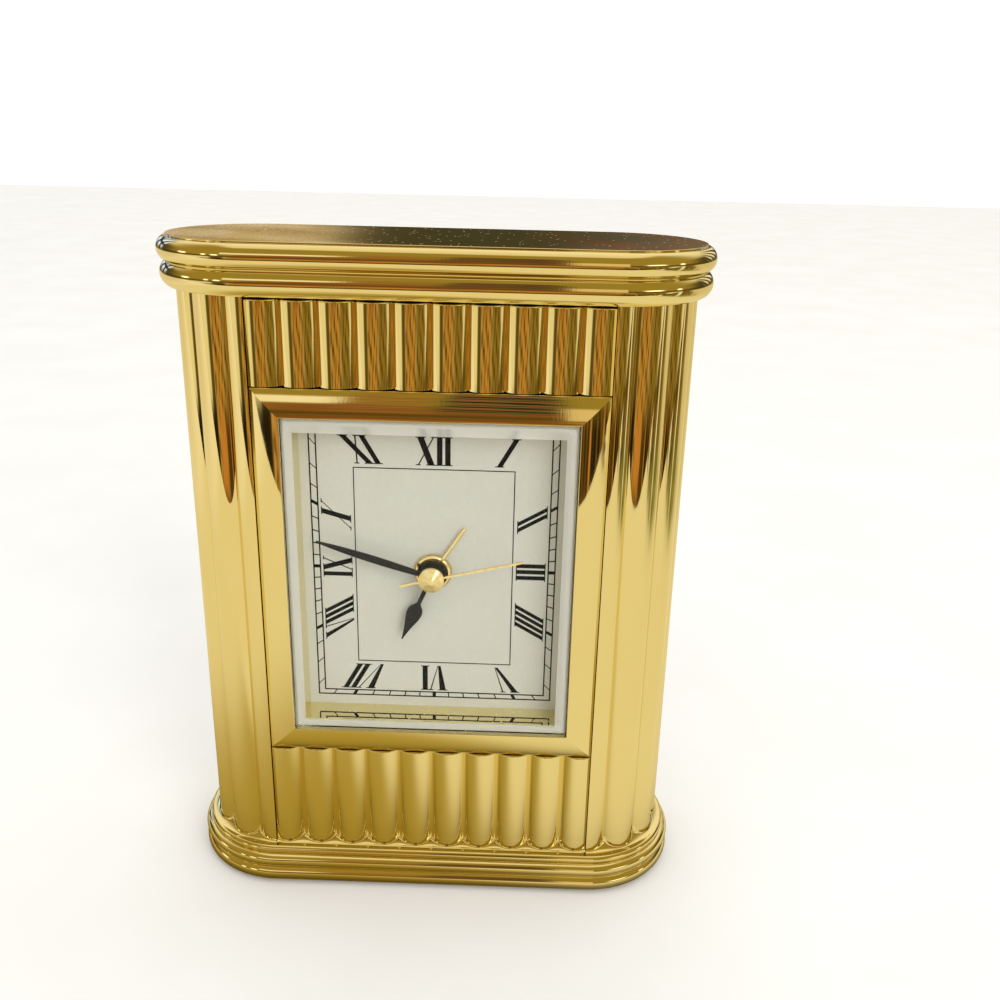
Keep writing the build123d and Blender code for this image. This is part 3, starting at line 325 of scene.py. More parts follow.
def speckled(name, light, dark, sizeMm, roughness, roughSpread=0.0, metallic=0.0, depthMm=0.0, detail=4.0):
    # two close tones in a noise of real grain size, the same noise moving the roughness and a shallow bump
    material, tree, shader, place = startMaterial(name)
    shader.inputs["Metallic"].default_value = metallic
    grain = addNode(tree, "ShaderNodeTexNoise", {"Vector": place}, Scale=perMetre(sizeMm), Detail=detail)
    ramp = addNode(tree, "ShaderNodeValToRGB", {"Fac": grain.outputs["Fac"]})
    for stop, position, tone in zip(ramp.color_ramp.elements, (0.32, 0.68), (dark, light)):
        stop.position = position
        stop.color = hexLinear(tone)
    tree.links.new(ramp.outputs["Color"], shader.inputs["Base Color"])
    rough = addNode(tree, "ShaderNodeMapRange", {"Value": grain.outputs["Fac"]},
                    **{"To Min": roughness - roughSpread, "To Max": roughness + roughSpread})
    tree.links.new(rough.outputs[0], shader.inputs["Roughness"])
    if depthMm:
        bump = addNode(tree, "ShaderNodeBump", {"Height": grain.outputs["Fac"]},
                       Strength=0.5, Distance=depthMm * mm)
        tree.links.new(bump.outputs["Normal"], shader.inputs["Normal"])
    return material


clearGlass = dict(tint="#FDFEFB", glare="#787878", wipeMm=14.0, rough=0.03)


def floatGlass():
    # clear float glass with ground and polished bevels: a faint green cast, wiped but not spotless
    material, tree, shader, place = startMaterial("floatGlass")
    # bloomed faces: the tint of the glare is dark, so little of it lies over the dial
    setSockets(shader, {"Transmission Weight": 1.0, "IOR": 1.5, "Base Color": hexLinear(clearGlass["tint"]),
                        "Specular Tint": hexLinear(clearGlass["glare"])})
    wipe = addNode(tree, "ShaderNodeTexNoise", {"Vector": place}, Scale=perMetre(clearGlass["wipeMm"]),
                   Detail=4.0)
    rough = addNode(tree, "ShaderNodeMapRange", {"Value": wipe.outputs["Fac"]},
                    **{"From Min": 0.5, "To Min": 0.0, "To Max": clearGlass["rough"]})
    tree.links.new(rough.outputs[0], shader.inputs["Roughness"])
    return material


bevelGlass = dict(tint="#E3E1D6", clear=0.6, gloss=0.3, markMm=5.0, roughLow=0.24, roughHigh=0.42)


def groundBevel():
    # ground glass bevel: fine grinding marks turn what lies behind it into a soft white band
    material, tree, shader, place = startMaterial("groundBevel")
    setSockets(shader, {"Transmission Weight": bevelGlass["clear"], "IOR": 1.5,
                        "Specular IOR Level": bevelGlass["gloss"],
                        "Base Color": hexLinear(bevelGlass["tint"])})
    marks = addNode(tree, "ShaderNodeTexNoise", {"Vector": place}, Scale=perMetre(bevelGlass["markMm"]),
                    Detail=5.0)
    rough = addNode(tree, "ShaderNodeMapRange", {"Value": marks.outputs["Fac"]},
                    **{"To Min": bevelGlass["roughLow"], "To Max": bevelGlass["roughHigh"]})
    tree.links.new(rough.outputs[0], shader.inputs["Roughness"])
    return material


finish = {
    "polished_brass": polishedBrass(),
    "crystal_glass": floatGlass(),
    # matt cellulose lacquer on the dial sheet: warm grey white, very fine tooth
    "dial_lacquer": speckled("dialLacquer", "#DAD8CD", "#D5D3C8", 0.5, 0.55, 0.05, depthMm=0.004),
    # stoved black lacquer on the blades: greyed satin with slight orange peel
    "black_lacquer": speckled("blackLacquer", "#2E2D2A", "#262522", 0.6, 0.42, 0.06, depthMm=0.006),
    # gilt brass: pale, satin, faint grain
    "gilt_brass": speckled("giltBrass", "#F1DA9E", "#E6C67E", 0.8, 0.17, 0.06, metallic=1.0),
    # moulded black ABS: fine spark texture that breaks up the gloss
    "black_plastic": speckled("mouldedAbs", "#1D1D1C", "#151514", 0.45, 0.5, 0.08, depthMm=0.02),
    # natural acetal: waxy cream, slightly uneven
    "wheel_plastic": speckled("naturalAcetal", "#E6E0D0", "#DAD2BE", 1.2, 0.4, 0.05),
    # zinc plated steel: cool grey, patchy passivation
    "steel": speckled("zincSteel", "#B9BBBC", "#9FA2A4", 1.5, 0.32, 0.08, metallic=1.0),
    # wool felt: matted fibres, deep green, no gloss
    "green_felt": speckled("woolFelt", "#24563A", "#123520", 0.5, 0.95, 0.03, depthMm=0.12, detail=8.0),
    # enamelled copper wire: amber varnish over copper
    "enamelled_copper": speckled("enamelledCopper", "#B4612E", "#8E4218", 0.25, 0.3, 0.08, metallic=0.7,
                                 depthMm=0.05),
    # ground ferrite: charcoal, gritty
    "ferrite": speckled("groundFerrite", "#3A3A3D", "#29292B", 0.3, 0.6, 0.08, depthMm=0.01),
    # phenolic board: brown paper laminate with a glossy resin face
    "board_laminate": speckled("phenolicBoard", "#8A6534", "#74521F", 0.8, 0.35, 0.06),
    # cast epoxy drop: black, wet gloss
    "black_epoxy": speckled("castEpoxy", "#161616", "#0E0E0E", 1.0, 0.16, 0.05),
    # nickel plate: warm silver, slightly dulled
    "nickel": speckled("nickelPlate", "#CFCBC4", "#B8B3AA", 1.2, 0.2, 0.06, metallic=1.0),
    # plain painted cell jacket: dark, even, satin
    "cell_jacket": speckled("cellJacket", "#3B3F45", "#2C2F33", 2.0, 0.35, 0.05),
}
for part in frame["record"]["subparts"]:
    node = frame["nodes"][part["node"]]
    node.data.materials.clear()
    node.data.materials.append(finish[part["material_slot"]])
# screen printing ink: dense warm black, flat
inkFinish = speckled("printingInk", "#12110F", "#0C0B0A", 0.4, 0.85, 0.05)
for matt in (inkFinish, finish["black_lacquer"]):
    setSockets(matt.node_tree.nodes["Principled BSDF"], {"Specular IOR Level": 0.1})
# pale bedding strip seen through the glass border
bedFinish = speckled("beddingStrip", "#E2E2DA", "#D8D8CF", 1.5, 0.6, 0.05)
print("materials ready:", len(finish))


# top cap: two half-round beads, a fine step, a flat top

cap = dict(foot=16.8, lower=19.0, groove=17.85, upper=19.3, step=0.4, lean=0.07, ledge=0.3, ease=0.14,
           under=8.0, flat=3.0)


def capProfile():
    low, high = clock["capZ"], clock["topZ"]
    waist, beadTop = (low + high) / 2, high - cap["step"]
    groove = cap["groove"]
    inner = groove - cap["ledge"]
    lower = arcPath((cap["foot"], low), (cap["lower"], (low + waist) / 2), (groove, waist), 30)
    upper = arcPath((groove, waist), (cap["upper"], (waist + beadTop) / 2), (groove, beadTop), 36)
    # the fine step below the flat leans out a little, so it mirrors the dark floor in front of the table
    lip = filletPath([(groove, beadTop), (inner - cap["lean"], beadTop), (inner, high),
                      (inner - cap["flat"], high)], [cap["ease"] / 3, cap["ease"]])
    return np.concatenate([[[cap["under"], low]], lower, upper[1:], lip[1:]])


addBrass("cap_shell", "top_cap", *stadiumSweep(capProfile()))

# base plinth: ledge with a small cove, then two beads down to the rim

plinth = dict(ledge=17.7, neck=18.4, groove=17.9, bead=19.48, beadShare=0.42, neckShare=0.79, under=17.3,
              inner=14.0)


def plinthProfile():
    low, high = clock["baseZ"], clock["bodyZ"]
    beadZ, neckZ = (low + (high - low) * share for share in (plinth["beadShare"], plinth["neckShare"]))
    neck, groove, bead = plinth["neck"], plinth["groove"], plinth["bead"]
    first = arcPath((neck, low), (bead, (low + beadZ) / 2), (groove, beadZ), 30)
    second = arcPath((groove, beadZ), (bead, (beadZ + neckZ) / 2), (groove, neckZ), 30)
    third = arcPath((groove, neckZ), (neck, (neckZ + high) / 2), (plinth["ledge"], high), 16)
    foot, top = [[plinth["under"], low]], [[plinth["inner"], high]]
    return np.concatenate([foot, first, second[1:], third[1:], top])


addBrass("plinth_shell", "base_plinth", *stadiumSweep(plinthProfile()))
print("cap and plinth done")

# reeded ends: six pitches round each half circle, with a cove that fills the valleys at the foot

reeds = dict(pitches=6, across=24, coveR=17.4, coveTall=2.9, coveRows=40, soften=0.22, panelPitch=6.89,
             bands=(50.0, 90.0))


def coveRadius(z):
    # concave quarter from the cove radius at the foot to the valley radius above
    t = np.clip((z - clock["bodyZ"]) / reeds["coveTall"], 0, 1)
    return clock["valley"] + (reeds["coveR"] - clock["valley"]) * (1 - np.sqrt(1 - (1 - t) ** 2))


def withCove(front, z):
    # the cove's rounding fades out over its upper third
    fade = np.clip((clock["bodyZ"] + reeds["coveTall"] - z) / (reeds["coveTall"] / 3), 0, 1)
    return softMax(front, coveRadius(z), reeds["soften"] * fade)


def columnReed(turn):
    # reed circle seen from the end's axis: e cos d + sqrt(r^2 - e^2 sin^2 d), d from the nearest crest
    step = np.pi / reeds["pitches"]
    crest, valley = clock["crest"], clock["valley"]
    e = (crest ** 2 - valley ** 2) / (2 * (crest - valley * np.cos(step / 2)))
    r = crest - e
    d = (turn + np.pi / 2 + step / 2) % step - step / 2
    return e * np.cos(d) + np.sqrt(r ** 2 - (e * np.sin(d)) ** 2)


def footRows(low, high, extra):
    # close rows over the cove, then the rest of the height
    cove = np.linspace(low, clock["bodyZ"] + reeds["coveTall"], reeds["coveRows"])
    return np.concatenate([cove, extra, [high]])


def columnShell(side):
    def shape(turn, z):
        r = withCove(columnReed(turn), z)
        return np.stack([clock["straightHalf"] + r * np.cos(turn), r * np.sin(turn), z + 0 * r], axis=-1)

    turn = np.linspace(-np.pi / 2, np.pi / 2, reeds["pitches"] * reeds["across"] + 1)
    z = footRows(clock["bodyZ"], clock["capZ"], reeds["bands"])
    points, quads, normals = surfaceGrid(shape, turn, z)
    rows, cols = len(z), len(turn)
    left = np.arange(rows) * cols
    loops = [(np.arange(cols)[::-1], (0, 0, -1)), ((rows - 1) * cols + np.arange(cols), (0, 0, 1)),
             (np.concatenate([left[::-1], left + cols - 1])[::-1], (-1, 0, 0))]
    faces, normals = closeWith(quads, normals, loops)
    if side < 0:
        counts = np.array([len(face) for face in faces])
        ends = np.cumsum(counts)
        flip = np.concatenate([np.arange(b - 1, b - n - 1, -1) for b, n in zip(ends, counts)])
        return points * (-1, 1, 1), [face[::-1] for face in faces], normals[flip] * (-1, 1, 1)
    return points, faces, normals


for side, name in ((-1, "left_column"), (1, "right_column")):
    addBrass(name + "_reeds", name, *columnShell(side))

# reeded panels above and below the bezel

panels = dict(half=33.38, ease=0.22, easeRows=5, across=20, lower=(8.85, 32.3), upper=(109.75, 125.65))


def panelReed(x):
    # arcs of one radius, a pitch wide, that meet in valleys
    pitch, deep = reeds["panelPitch"], clock["crest"] - clock["valley"]
    r = ((pitch / 2) ** 2 + deep ** 2) / (2 * deep)
    d = x % pitch - pitch / 2
    return clock["valley"] + np.sqrt(r ** 2 - d ** 2) - (r - deep)


def panelShell(low, high, hasCove):
    ease = panels["ease"]

    def shape(x, z):
        front = withCove(panelReed(x), z) if hasCove else panelReed(x) + 0 * z
        # rounded upper edge: ease - sqrt(ease^2 - t^2) below the end, t into the rounding
        t = np.clip(z - (high - ease), 0, ease)
        return np.stack([x + 0 * front, ease - np.sqrt(ease ** 2 - t ** 2) - front, z + 0 * front], axis=-1)

    pitch, half = reeds["panelPitch"], panels["half"]
    whole = int(half / pitch)
    x = np.linspace(-whole * pitch, whole * pitch, 2 * whole * panels["across"] + 1)
    edge = np.linspace(whole * pitch, half, panels["across"])[1:]
    x = np.concatenate([-edge[::-1], x, edge])
    top = high - ease + ease * np.sin(np.linspace(0, np.pi / 2, panels["easeRows"]))[:-1]
    end = high - ease * 0.002  # a hair short of the end, where the rounding has no slope
    z = footRows(low, end, top) if hasCove else np.concatenate([[low], top, [end]])
    points, quads, normals = surfaceGrid(shape, x, z)
    rows, cols = len(z), len(x)
    seat = -clock["panelSeat"]
    back = np.array([[-half, seat, z[0]], [half, seat, z[0]], [half, seat, z[-1]], [-half, seat, z[-1]]])
    a, b, c, d = len(points) + np.arange(4)
    left, row = np.arange(rows) * cols, np.arange(cols)
    loops = [([*row[::-1], a, b], (0, 0, -1)), ([*((rows - 1) * cols + row), c, d], (0, 0, 1)),
             ([*left, d, a], (-1, 0, 0)), ([*(left + cols - 1)[::-1], b, c], (1, 0, 0)),
             ([a, d, c, b], (0, 1, 0))]
    return np.concatenate([points, back]), *closeWith(quads, normals, loops)


for name, hasCove in (("lower", True), ("upper", False)):
    addBrass(name + "_panel_reeds", name + "_panel", *panelShell(*panels[name], hasCove))
print("reeds done")

# bezel: cushion face that levels towards the crystal, crystal seat and the polished tunnel behind it

bezel = dict(halfW=33.42, halfH=38.52, member=5.4, faceY=-17.2, rimTilt=26.0, landTilt=2.0, rimEase=0.2,
             inEase=0.14, seatY=-15.0, ledge=1.9, wall=1.4, dialY=-8.8)


def bezelProfile():
    # the face's slope falls evenly from rimTilt to landTilt; its depth is the running sum of the tangents
    member, seatY, dialY = bezel["member"], bezel["seatY"], bezel["dialY"]
    ledge, seat = member + bezel["ledge"], -clock["panelSeat"]
    inset = np.linspace(0, member, 27)
    tilt = np.radians(bezel["rimTilt"] + (bezel["landTilt"] - bezel["rimTilt"]) * inset / member)
    slope = np.tan(tilt)
    drop = np.concatenate([[0], np.cumsum((slope[1:] + slope[:-1]) / 2 * np.diff(inset))])
    face = np.stack([inset, bezel["faceY"] + drop[-1] - drop], axis=1)
    rim = filletPath([(0, seat), face[0], face[1]], [bezel["rimEase"]])
    inner = ledge - bezel["wall"]
    rest = filletPath([face[-2], face[-1], (member, seatY), (ledge, seatY), (ledge, dialY), (inner, dialY),
                       (inner, seat), (0, seat)], [bezel["inEase"], 0.08, 0.1, 0.05, 0.05, 0.05])
    return np.concatenate([rim[:-1], face[1:-2], rest])


addBrass("bezel_frame", "bezel", *frameSweep(bezelProfile(), bezel["halfW"], bezel["halfH"], ring=True))

# pale strip that beds the crystal on its seat

gasket = dict(inset=5.5, wide=1.7, backY=-15.02, frontY=-15.17)


def gasketProfile():
    near, far = gasket["inset"], gasket["inset"] + gasket["wide"]
    return np.array([(near, gasket["backY"]), (near, gasket["frontY"]), (far, gasket["frontY"]),
                     (far, gasket["backY"]), (near, gasket["backY"])])


points, faces, normals = frameSweep(gasketProfile(), bezel["halfW"], bezel["halfH"], ring=True)
dress(makePiece("crystal_bed", points, faces, bedFinish, normals), "case", "dial_lacquer")

# crystal: flat glass with a bevelled border

crystal = dict(halfW=27.9, halfH=33.0, backY=-15.2, edgeY=-15.9, lipIn=0.6, lipY=-16.7, frontY=-17.5,
               bevel=2.4, ease=0.06, inner=6.0)


def crystalProfile():
    # narrow steep lip at the rim, then the broad bevel up to the flat face
    corners = [(crystal["inner"], crystal["backY"]), (0, crystal["backY"]), (0, crystal["edgeY"]),
               (crystal["lipIn"], crystal["lipY"]), (crystal["bevel"], crystal["frontY"]),
               (crystal["inner"], crystal["frontY"])]
    return filletPath(corners, [crystal["ease"]] * 4, 3)


points, quads, normals = frameSweep(crystalProfile(), crystal["halfW"], crystal["halfH"])
last = len(points)
faces, normals = closeWith(quads, normals, [([last - 4, last - 3, last - 2, last - 1], (0, -1, 0)),
                                            ([3, 2, 1, 0], (0, 1, 0))])
glass = makePiece("crystal_plate", points, faces, finish["crystal_glass"], normals)
glass.data.materials.append(groundBevel())
# the ground bevels are the faces that lean, neither level with the front nor square to it
facing = np.empty(len(glass.data.polygons) * 3)
glass.data.polygons.foreach_get("normal", facing)
leaning = np.abs(np.abs(facing[1::3]) - 0.7) < 0.28
glass.data.polygons.foreach_set("material_index", leaning.astype(np.int32))
glass.visible_shadow = False  # lets the lamps reach the dial through the glass
dress(glass, "case", "crystal_glass", "crystal")
print("bezel and crystal done")

# dial print: minute track, inner line and numerals with their feet to the centre

dialPrint = dict(y=-8.83, shift=(0.2, 0.4), outer=(24.5, 29.5), inner=(23.15, 28.4), panel=(15.9, 21.3),
                 trackLine=0.27, panelLine=0.2, tick=0.24, fiveTick=0.7, sideBand=(16.5, 22.45),
                 endBand=(22.0, 27.8), stem=1.06, pitch=1.58, thick=1.28, thin=0.28, wide=3.3, gap=0.5,
                 serif=0.36, hair=0.2, sideShare=0.82)


def lineRing(size, line):
    # flat line carried round a rectangle as one closed ring
    back, front = bezel["dialY"], dialPrint["y"]
    section = np.array([(0, back), (0, front), (line, front), (line, back), (0, back)])
    points, faces = frameSweep(section, *size, ring=True)[:2]
    return points + np.insert(dialPrint["shift"], 1, 0), faces.tolist()


def minuteTicks():
    # rays every 6 degrees, cut where they cross the two rectangles of the track
    minute = np.arange(60)
    a = np.radians(6 * minute)
    ray = np.stack([np.sin(a), np.cos(a)], axis=1)
    outer = np.array(dialPrint["outer"])
    reach = [1 / np.max(np.abs(ray) / np.array(size), axis=1, keepdims=True)
             for size in (dialPrint["inner"], outer - dialPrint["trackLine"])]
    share = np.abs(ray) / outer
    along = np.where(share[:, :1] > share[:, 1:], [[0, 1]], [[1, 0]])
    half = np.where(minute % 5 == 0, dialPrint["fiveTick"], dialPrint["tick"])[:, None] / 2
    near, far = ray * reach[0], ray * reach[1]
    wide = along * half
    return np.stack([near - wide, near + wide, far + wide, far - wide], axis=1)


def stroke(foot, head, footWide, headWide, low=0.0, high=1.0):
    # slanted bar from foot to head as quad corners (across, share of height)
    return [(foot, low), (foot + footWide, low), (head + headWide, high), (head, high)]


def letterStrokes(letter, start, hair):
    # bars and hairline serifs of one letter, and how far it reaches across
    d = dialPrint
    thick, thin, wide, serif = d["thick"], d["thin"], d["wide"], d["serif"]

    def serifAt(left, span, low):
        return stroke(left - serif, left - serif, span + 2 * serif, span + 2 * serif, low, low + hair)

    if letter == "I":
        bars = [stroke(0, 0, d["stem"], d["stem"], hair, 1 - hair), serifAt(0, d["stem"], 0),
                serifAt(0, d["stem"], 1 - hair)]
        reach = d["stem"]
    elif letter == "V":
        middle = wide / 2 - thin
        bars = [stroke(middle - thin, 0, 2 * thin, thick, 0, 1 - hair),
                stroke(middle + thin * 0.8, wide - thin, thin / 2, thin, 0, 1 - hair),
                serifAt(0, thick, 1 - hair), serifAt(wide - thin, thin, 1 - hair)]
        reach = wide
    else:
        # thick bar from upper left to lower right; the thin one stops at its two edges
        run, lean = wide - thick, wide - thin
        lower = [(run - thin * k) / (run + lean) for k in (0, 1)]
        upper = [(run + thick - thin * k) / (run + lean) for k in (0, 1)]
        bars = [stroke(run, 0, thick, thick, hair, 1 - hair), serifAt(run, thick, 0), serifAt(0, thin, 0),
                serifAt(0, thick, 1 - hair), serifAt(lean, thin, 1 - hair),
                [(0, 0), (thin, 0), (thin + lean * lower[1], lower[1]), (lean * lower[0], lower[0])],
                [(lean * upper[0], upper[0]), (thin + lean * upper[1], upper[1]), (wide, 1), (lean, 1)]]
        reach = wide
    return np.array(bars) + (start, 0), reach


def spaceAfter(letter):
    return dialPrint["pitch"] - dialPrint["stem"] if letter == "I" else dialPrint["gap"]


def numeral(text, hour):
    # letters side by side, then leaned along the hour's ray: outward h, clockwise h tan(lean) + s
    side = round(hour / 3) % 4
    low, high = dialPrint["endBand"] if side % 2 == 0 else dialPrint["sideBand"]
    bars, start = [], 0.0
    for letter in text:
        quads, reach = letterStrokes(letter, start, dialPrint["hair"] / (high - low))
        bars.append(quads)
        start += reach + spaceAfter(letter)
    bars = np.concatenate(bars)
    half = (start - spaceAfter(text[-1])) / 2
    across = (bars[..., 0] - half) * (1 if side % 2 == 0 else dialPrint["sideShare"])
    h = low + bars[..., 1] * (high - low)
    around = h * np.tan(np.radians(30 * hour - 90 * round(hour / 3))) + across
    outward = np.array([(0, 1), (1, 0), (0, -1), (-1, 0)])[side]
    clockwise = outward[::-1] * (1, -1)
    return h[..., None] * outward + around[..., None] * clockwise


def thinPrint(quads):
    # each quad becomes a closed slab that stands a hair off the dial
    p, q = quads, np.roll(quads, -1, 1)
    area = (p[..., 0] * q[..., 1] - p[..., 1] * q[..., 0]).sum(1)
    quads = np.where(area[:, None, None] < 0, quads[:, ::-1], quads)
    flat = quads.reshape(-1, 4, 2) + dialPrint["shift"]
    depth = np.full(flat.shape[:2], dialPrint["y"])
    front = np.stack([flat[..., 0], depth, flat[..., 1] + clock["handZ"]], axis=-1)
    points = np.concatenate([front, front * (1, 0, 1) + (0, bezel["dialY"], 0)], axis=1).reshape(-1, 3)
    one = np.array([(0, 1, 2, 3), (7, 6, 5, 4), (0, 4, 5, 1), (1, 5, 6, 2), (2, 6, 7, 3), (3, 7, 4, 0)])
    return points, (one[None] + 8 * np.arange(len(flat))[:, None, None]).reshape(-1, 4).tolist()


names = ["XII", "I", "II", "III", "IIII", "V", "VI", "VII", "VIII", "IX", "X", "XI"]
marks = [minuteTicks()] + [numeral(text, hour) for hour, text in enumerate(names)]
lines = [lineRing(dialPrint[size], dialPrint[line])
         for size, line in (("outer", "trackLine"), ("inner", "trackLine"), ("panel", "panelLine"))]
points, faces = joinShells(thinPrint(np.concatenate(marks)), *lines)
dress(makePiece("dial_print", points, faces, inkFinish, smooth=False), "case", "black_lacquer")
print("dial print done:", len(faces), "faces")

# alarm hand: turned gilt washer and a round pointer, drawn at twelve and turned to its time

alarmHand = dict(time=33.0, bore=2.4, length=11.7, rodHalf=0.38, rodFlat=0.27, rodY=-9.86, rodStart=3.0,
                 rodMiddle=6.0, rodSteps=28, steps=96)


def turnedOn(across, along, y):
    # the hand's own axes to the dial's: clockwise from twelve by the time angle
    a = np.radians(alarmHand["time"])
    x = along * np.sin(a) + across * np.cos(a)
    z = clock["handZ"] + along * np.cos(a) - across * np.sin(a)
    return np.stack([x, y + 0 * x, z], axis=-1)


def alarmWasher():
    # closed (radius, depth) profile turned about the hands' axis
    bore = alarmHand["bore"]
    profile = np.array([(bore, -9.42), (3.62, -9.42), (3.68, -9.1), (3.82, -9.06), (3.9, -9.14),
                        (3.88, -9.3), (3.62, -9.72), (3.3, -9.9), (3.16, -9.93), (3.0, -9.88),
                        (2.86, -9.78), (bore, -9.76)])
    turn = np.linspace(0, 2 * np.pi, alarmHand["steps"], endpoint=False)
    r, y = profile[:, :1], profile[:, 1:]
    return closedGrid(turnedOn(r * np.sin(turn), r * np.cos(turn), y), wrapRows=True)


def alarmRod():
    # oval bar with a rounded end: the section shrinks by cos p while it moves on by sin p
    p = np.radians(np.linspace(0, 82, 9))
    half = alarmHand["rodHalf"]
    end = alarmHand["length"] - half + half * np.sin(p)
    along = np.concatenate([[alarmHand["rodStart"], alarmHand["rodMiddle"]], end])[:, None]
    share = np.concatenate([[1, 1], np.cos(p)])[:, None]
    turn = np.linspace(0, 2 * np.pi, alarmHand["rodSteps"], endpoint=False)
    y = alarmHand["rodY"] - share * alarmHand["rodFlat"] * np.cos(turn)
    return closedGrid(turnedOn(share * half * np.sin(turn), along + 0 * turn, y))


points, faces = joinShells(alarmWasher(), alarmRod())
piece = makePiece("alarm_pointer", points, faces, finish["gilt_brass"], crease=40)
dress(piece, "alarm", "gilt_brass", "alarm_hand")
print("alarm hand done")

# back cover screws: countersunk heads with a cross recess, each stopped at its own turn

screws = dict(head=2.3, shank=1.2, arm=0.66, slot=0.14, slope=0.05, deep=0.8,
              turns=(12.0, 48.0, -27.0, 70.0))


def screwShell(x, z, tip, back, turn):
    # square grid laid on a disc, x = u sqrt(1 - v^2/2) and z = v sqrt(1 - u^2/2), sunk along the two arms
    head, arm, slot, slope = (screws[key] for key in ("head", "arm", "slot", "slope"))
    line = np.array([slot, slot + slope, 0.35, 0.5, arm, arm + slope, 0.85, 1.0])
    line = np.concatenate([-line[::-1], line])
    u, v = line[:, None], line[None, :]
    near, far = np.minimum(abs(u), abs(v)), np.maximum(abs(u), abs(v))
    sink = np.where((near <= slot) & (far <= arm), screws["deep"] * (1 - 0.5 * far / arm), 0)
    px, pz = head * u * np.sqrt(1 - v ** 2 / 2), head * v * np.sqrt(1 - u ** 2 / 2)
    ca, sa = np.cos(np.radians(turn)), np.sin(np.radians(turn))
    top = np.stack([x + ca * px - sa * pz, back - sink, z + sa * px + ca * pz], axis=-1)
    n = len(line)
    at = np.arange(n * n).reshape(n, n)
    rim = np.concatenate([at[0, :-1], at[:-1, -1], at[-1, :0:-1], at[:0:-1, 0]])
    # below the rim: cone to the shank, then the tip
    inward = (top.reshape(-1, 3)[rim] - (x, back, z)) * screws["shank"] / head
    rings = [inward + (x, depth, z) for depth in (back - head + screws["shank"], tip)]
    loops = [rim, n * n + np.arange(len(rim)), n * n + len(rim) + np.arange(len(rim))]
    sides = [np.stack([np.roll(p, -1), p, q, np.roll(q, -1)], axis=1).tolist()
             for p, q in zip(loops, loops[1:])]
    faces = gridQuads(n, n).tolist() + sides[0] + sides[1] + [loops[2][::-1].tolist()]
    return turnedOut(np.concatenate([top.reshape(-1, 3)] + rings), faces)


low, high = (np.array(corner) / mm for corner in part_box("back_cover_screws"))
edge = screws["head"]
places = [(x, z) for x in (low[0] + edge, high[0] - edge) for z in (low[2] + edge, high[2] - edge)]
shells = [screwShell(x, z, low[1], high[1], turn) for (x, z), turn in zip(places, screws["turns"])]
points, faces = joinShells(*shells)
piece = makePiece("cover_screw_heads", points, faces, finish["steel"], crease=30)
dress(piece, "case", "steel", "back_cover_screws")
print("screws done")

# camera at the photograph's place: yaw, pitch down and roll in radians, focal length in frame widths

view = dict(place=(16.883, -196.792, 154.574), yaw=-0.018666, pitch=0.348058, roll=0.022759, focal=1.0132,
            shift=-0.00105)


def addCamera():
    yaw, pitch, roll = view["yaw"], view["pitch"], view["roll"]
    ahead = Vector((sin(yaw) * cos(pitch), cos(yaw) * cos(pitch), -sin(pitch)))
    level = Vector((cos(yaw), -sin(yaw), 0))
    above = level.cross(ahead)
    right = level * cos(roll) + above * sin(roll)
    up = above * cos(roll) - level * sin(roll)
    lens = bpy.data.cameras.new("photoCamera")
    lens.sensor_width = 36
    lens.lens = lens.sensor_width * view["focal"]
    lens.shift_x = view["shift"]
    lens.clip_start = 0.01
    camera = bpy.data.objects.new("photoCamera", lens)
    turned = Matrix((right, up, -ahead)).transposed().to_4x4()
    camera.matrix_world = Matrix.Translation(Vector(view["place"]) * mm) @ turned
    scene.collection.objects.link(camera)
    scene.camera = camera


addCamera()

# studio: pale floor, soft white room, one gentle lamp

studio = dict(floorHalf=2500, floor="#FBFAF6", floorDark="#F6F5F0", floorMm=60.0, floorRough=0.8, room=1.02,
              lampPower=3.2, lampSize=0.5, lampPlace=(0.55, -0.8, 0.62))


def addStudio():
    half = studio["floorHalf"]
    corners = [(-half, -half, 0), (half, -half, 0), (half, half, 0), (-half, half, 0)]
    paint = speckled("paleFloor", studio["floor"], studio["floorDark"], studio["floorMm"],
                     studio["floorRough"])
    floor = makePiece("floor", corners, [(0, 1, 2, 3)], paint)
    floor.visible_glossy = False
    world = bpy.data.worlds.new("softRoom")
    world.use_nodes = True
    scene.world = world
    setSockets(world.node_tree.nodes["Background"],
               {"Color": hexLinear("#FFFFFF"), "Strength": studio["room"]})
    world.cycles_visibility.glossy = False  # mirrors see the painted room alone
    lamp = bpy.data.lights.new("softLamp", "AREA")
    lamp.size = studio["lampSize"]
    lamp.energy = studio["lampPower"]
    lampObject = bpy.data.objects.new("softLamp", lamp)
    place = Vector(studio["lampPlace"])
    aim = Vector((0, 0, clock["handZ"] * mm)) - place
    lampObject.matrix_world = Matrix.Translation(place) @ aim.to_track_quat("-Z", "Y").to_matrix().to_4x4()
    lampObject.visible_glossy = False
    scene.collection.objects.link(lampObject)


addStudio()
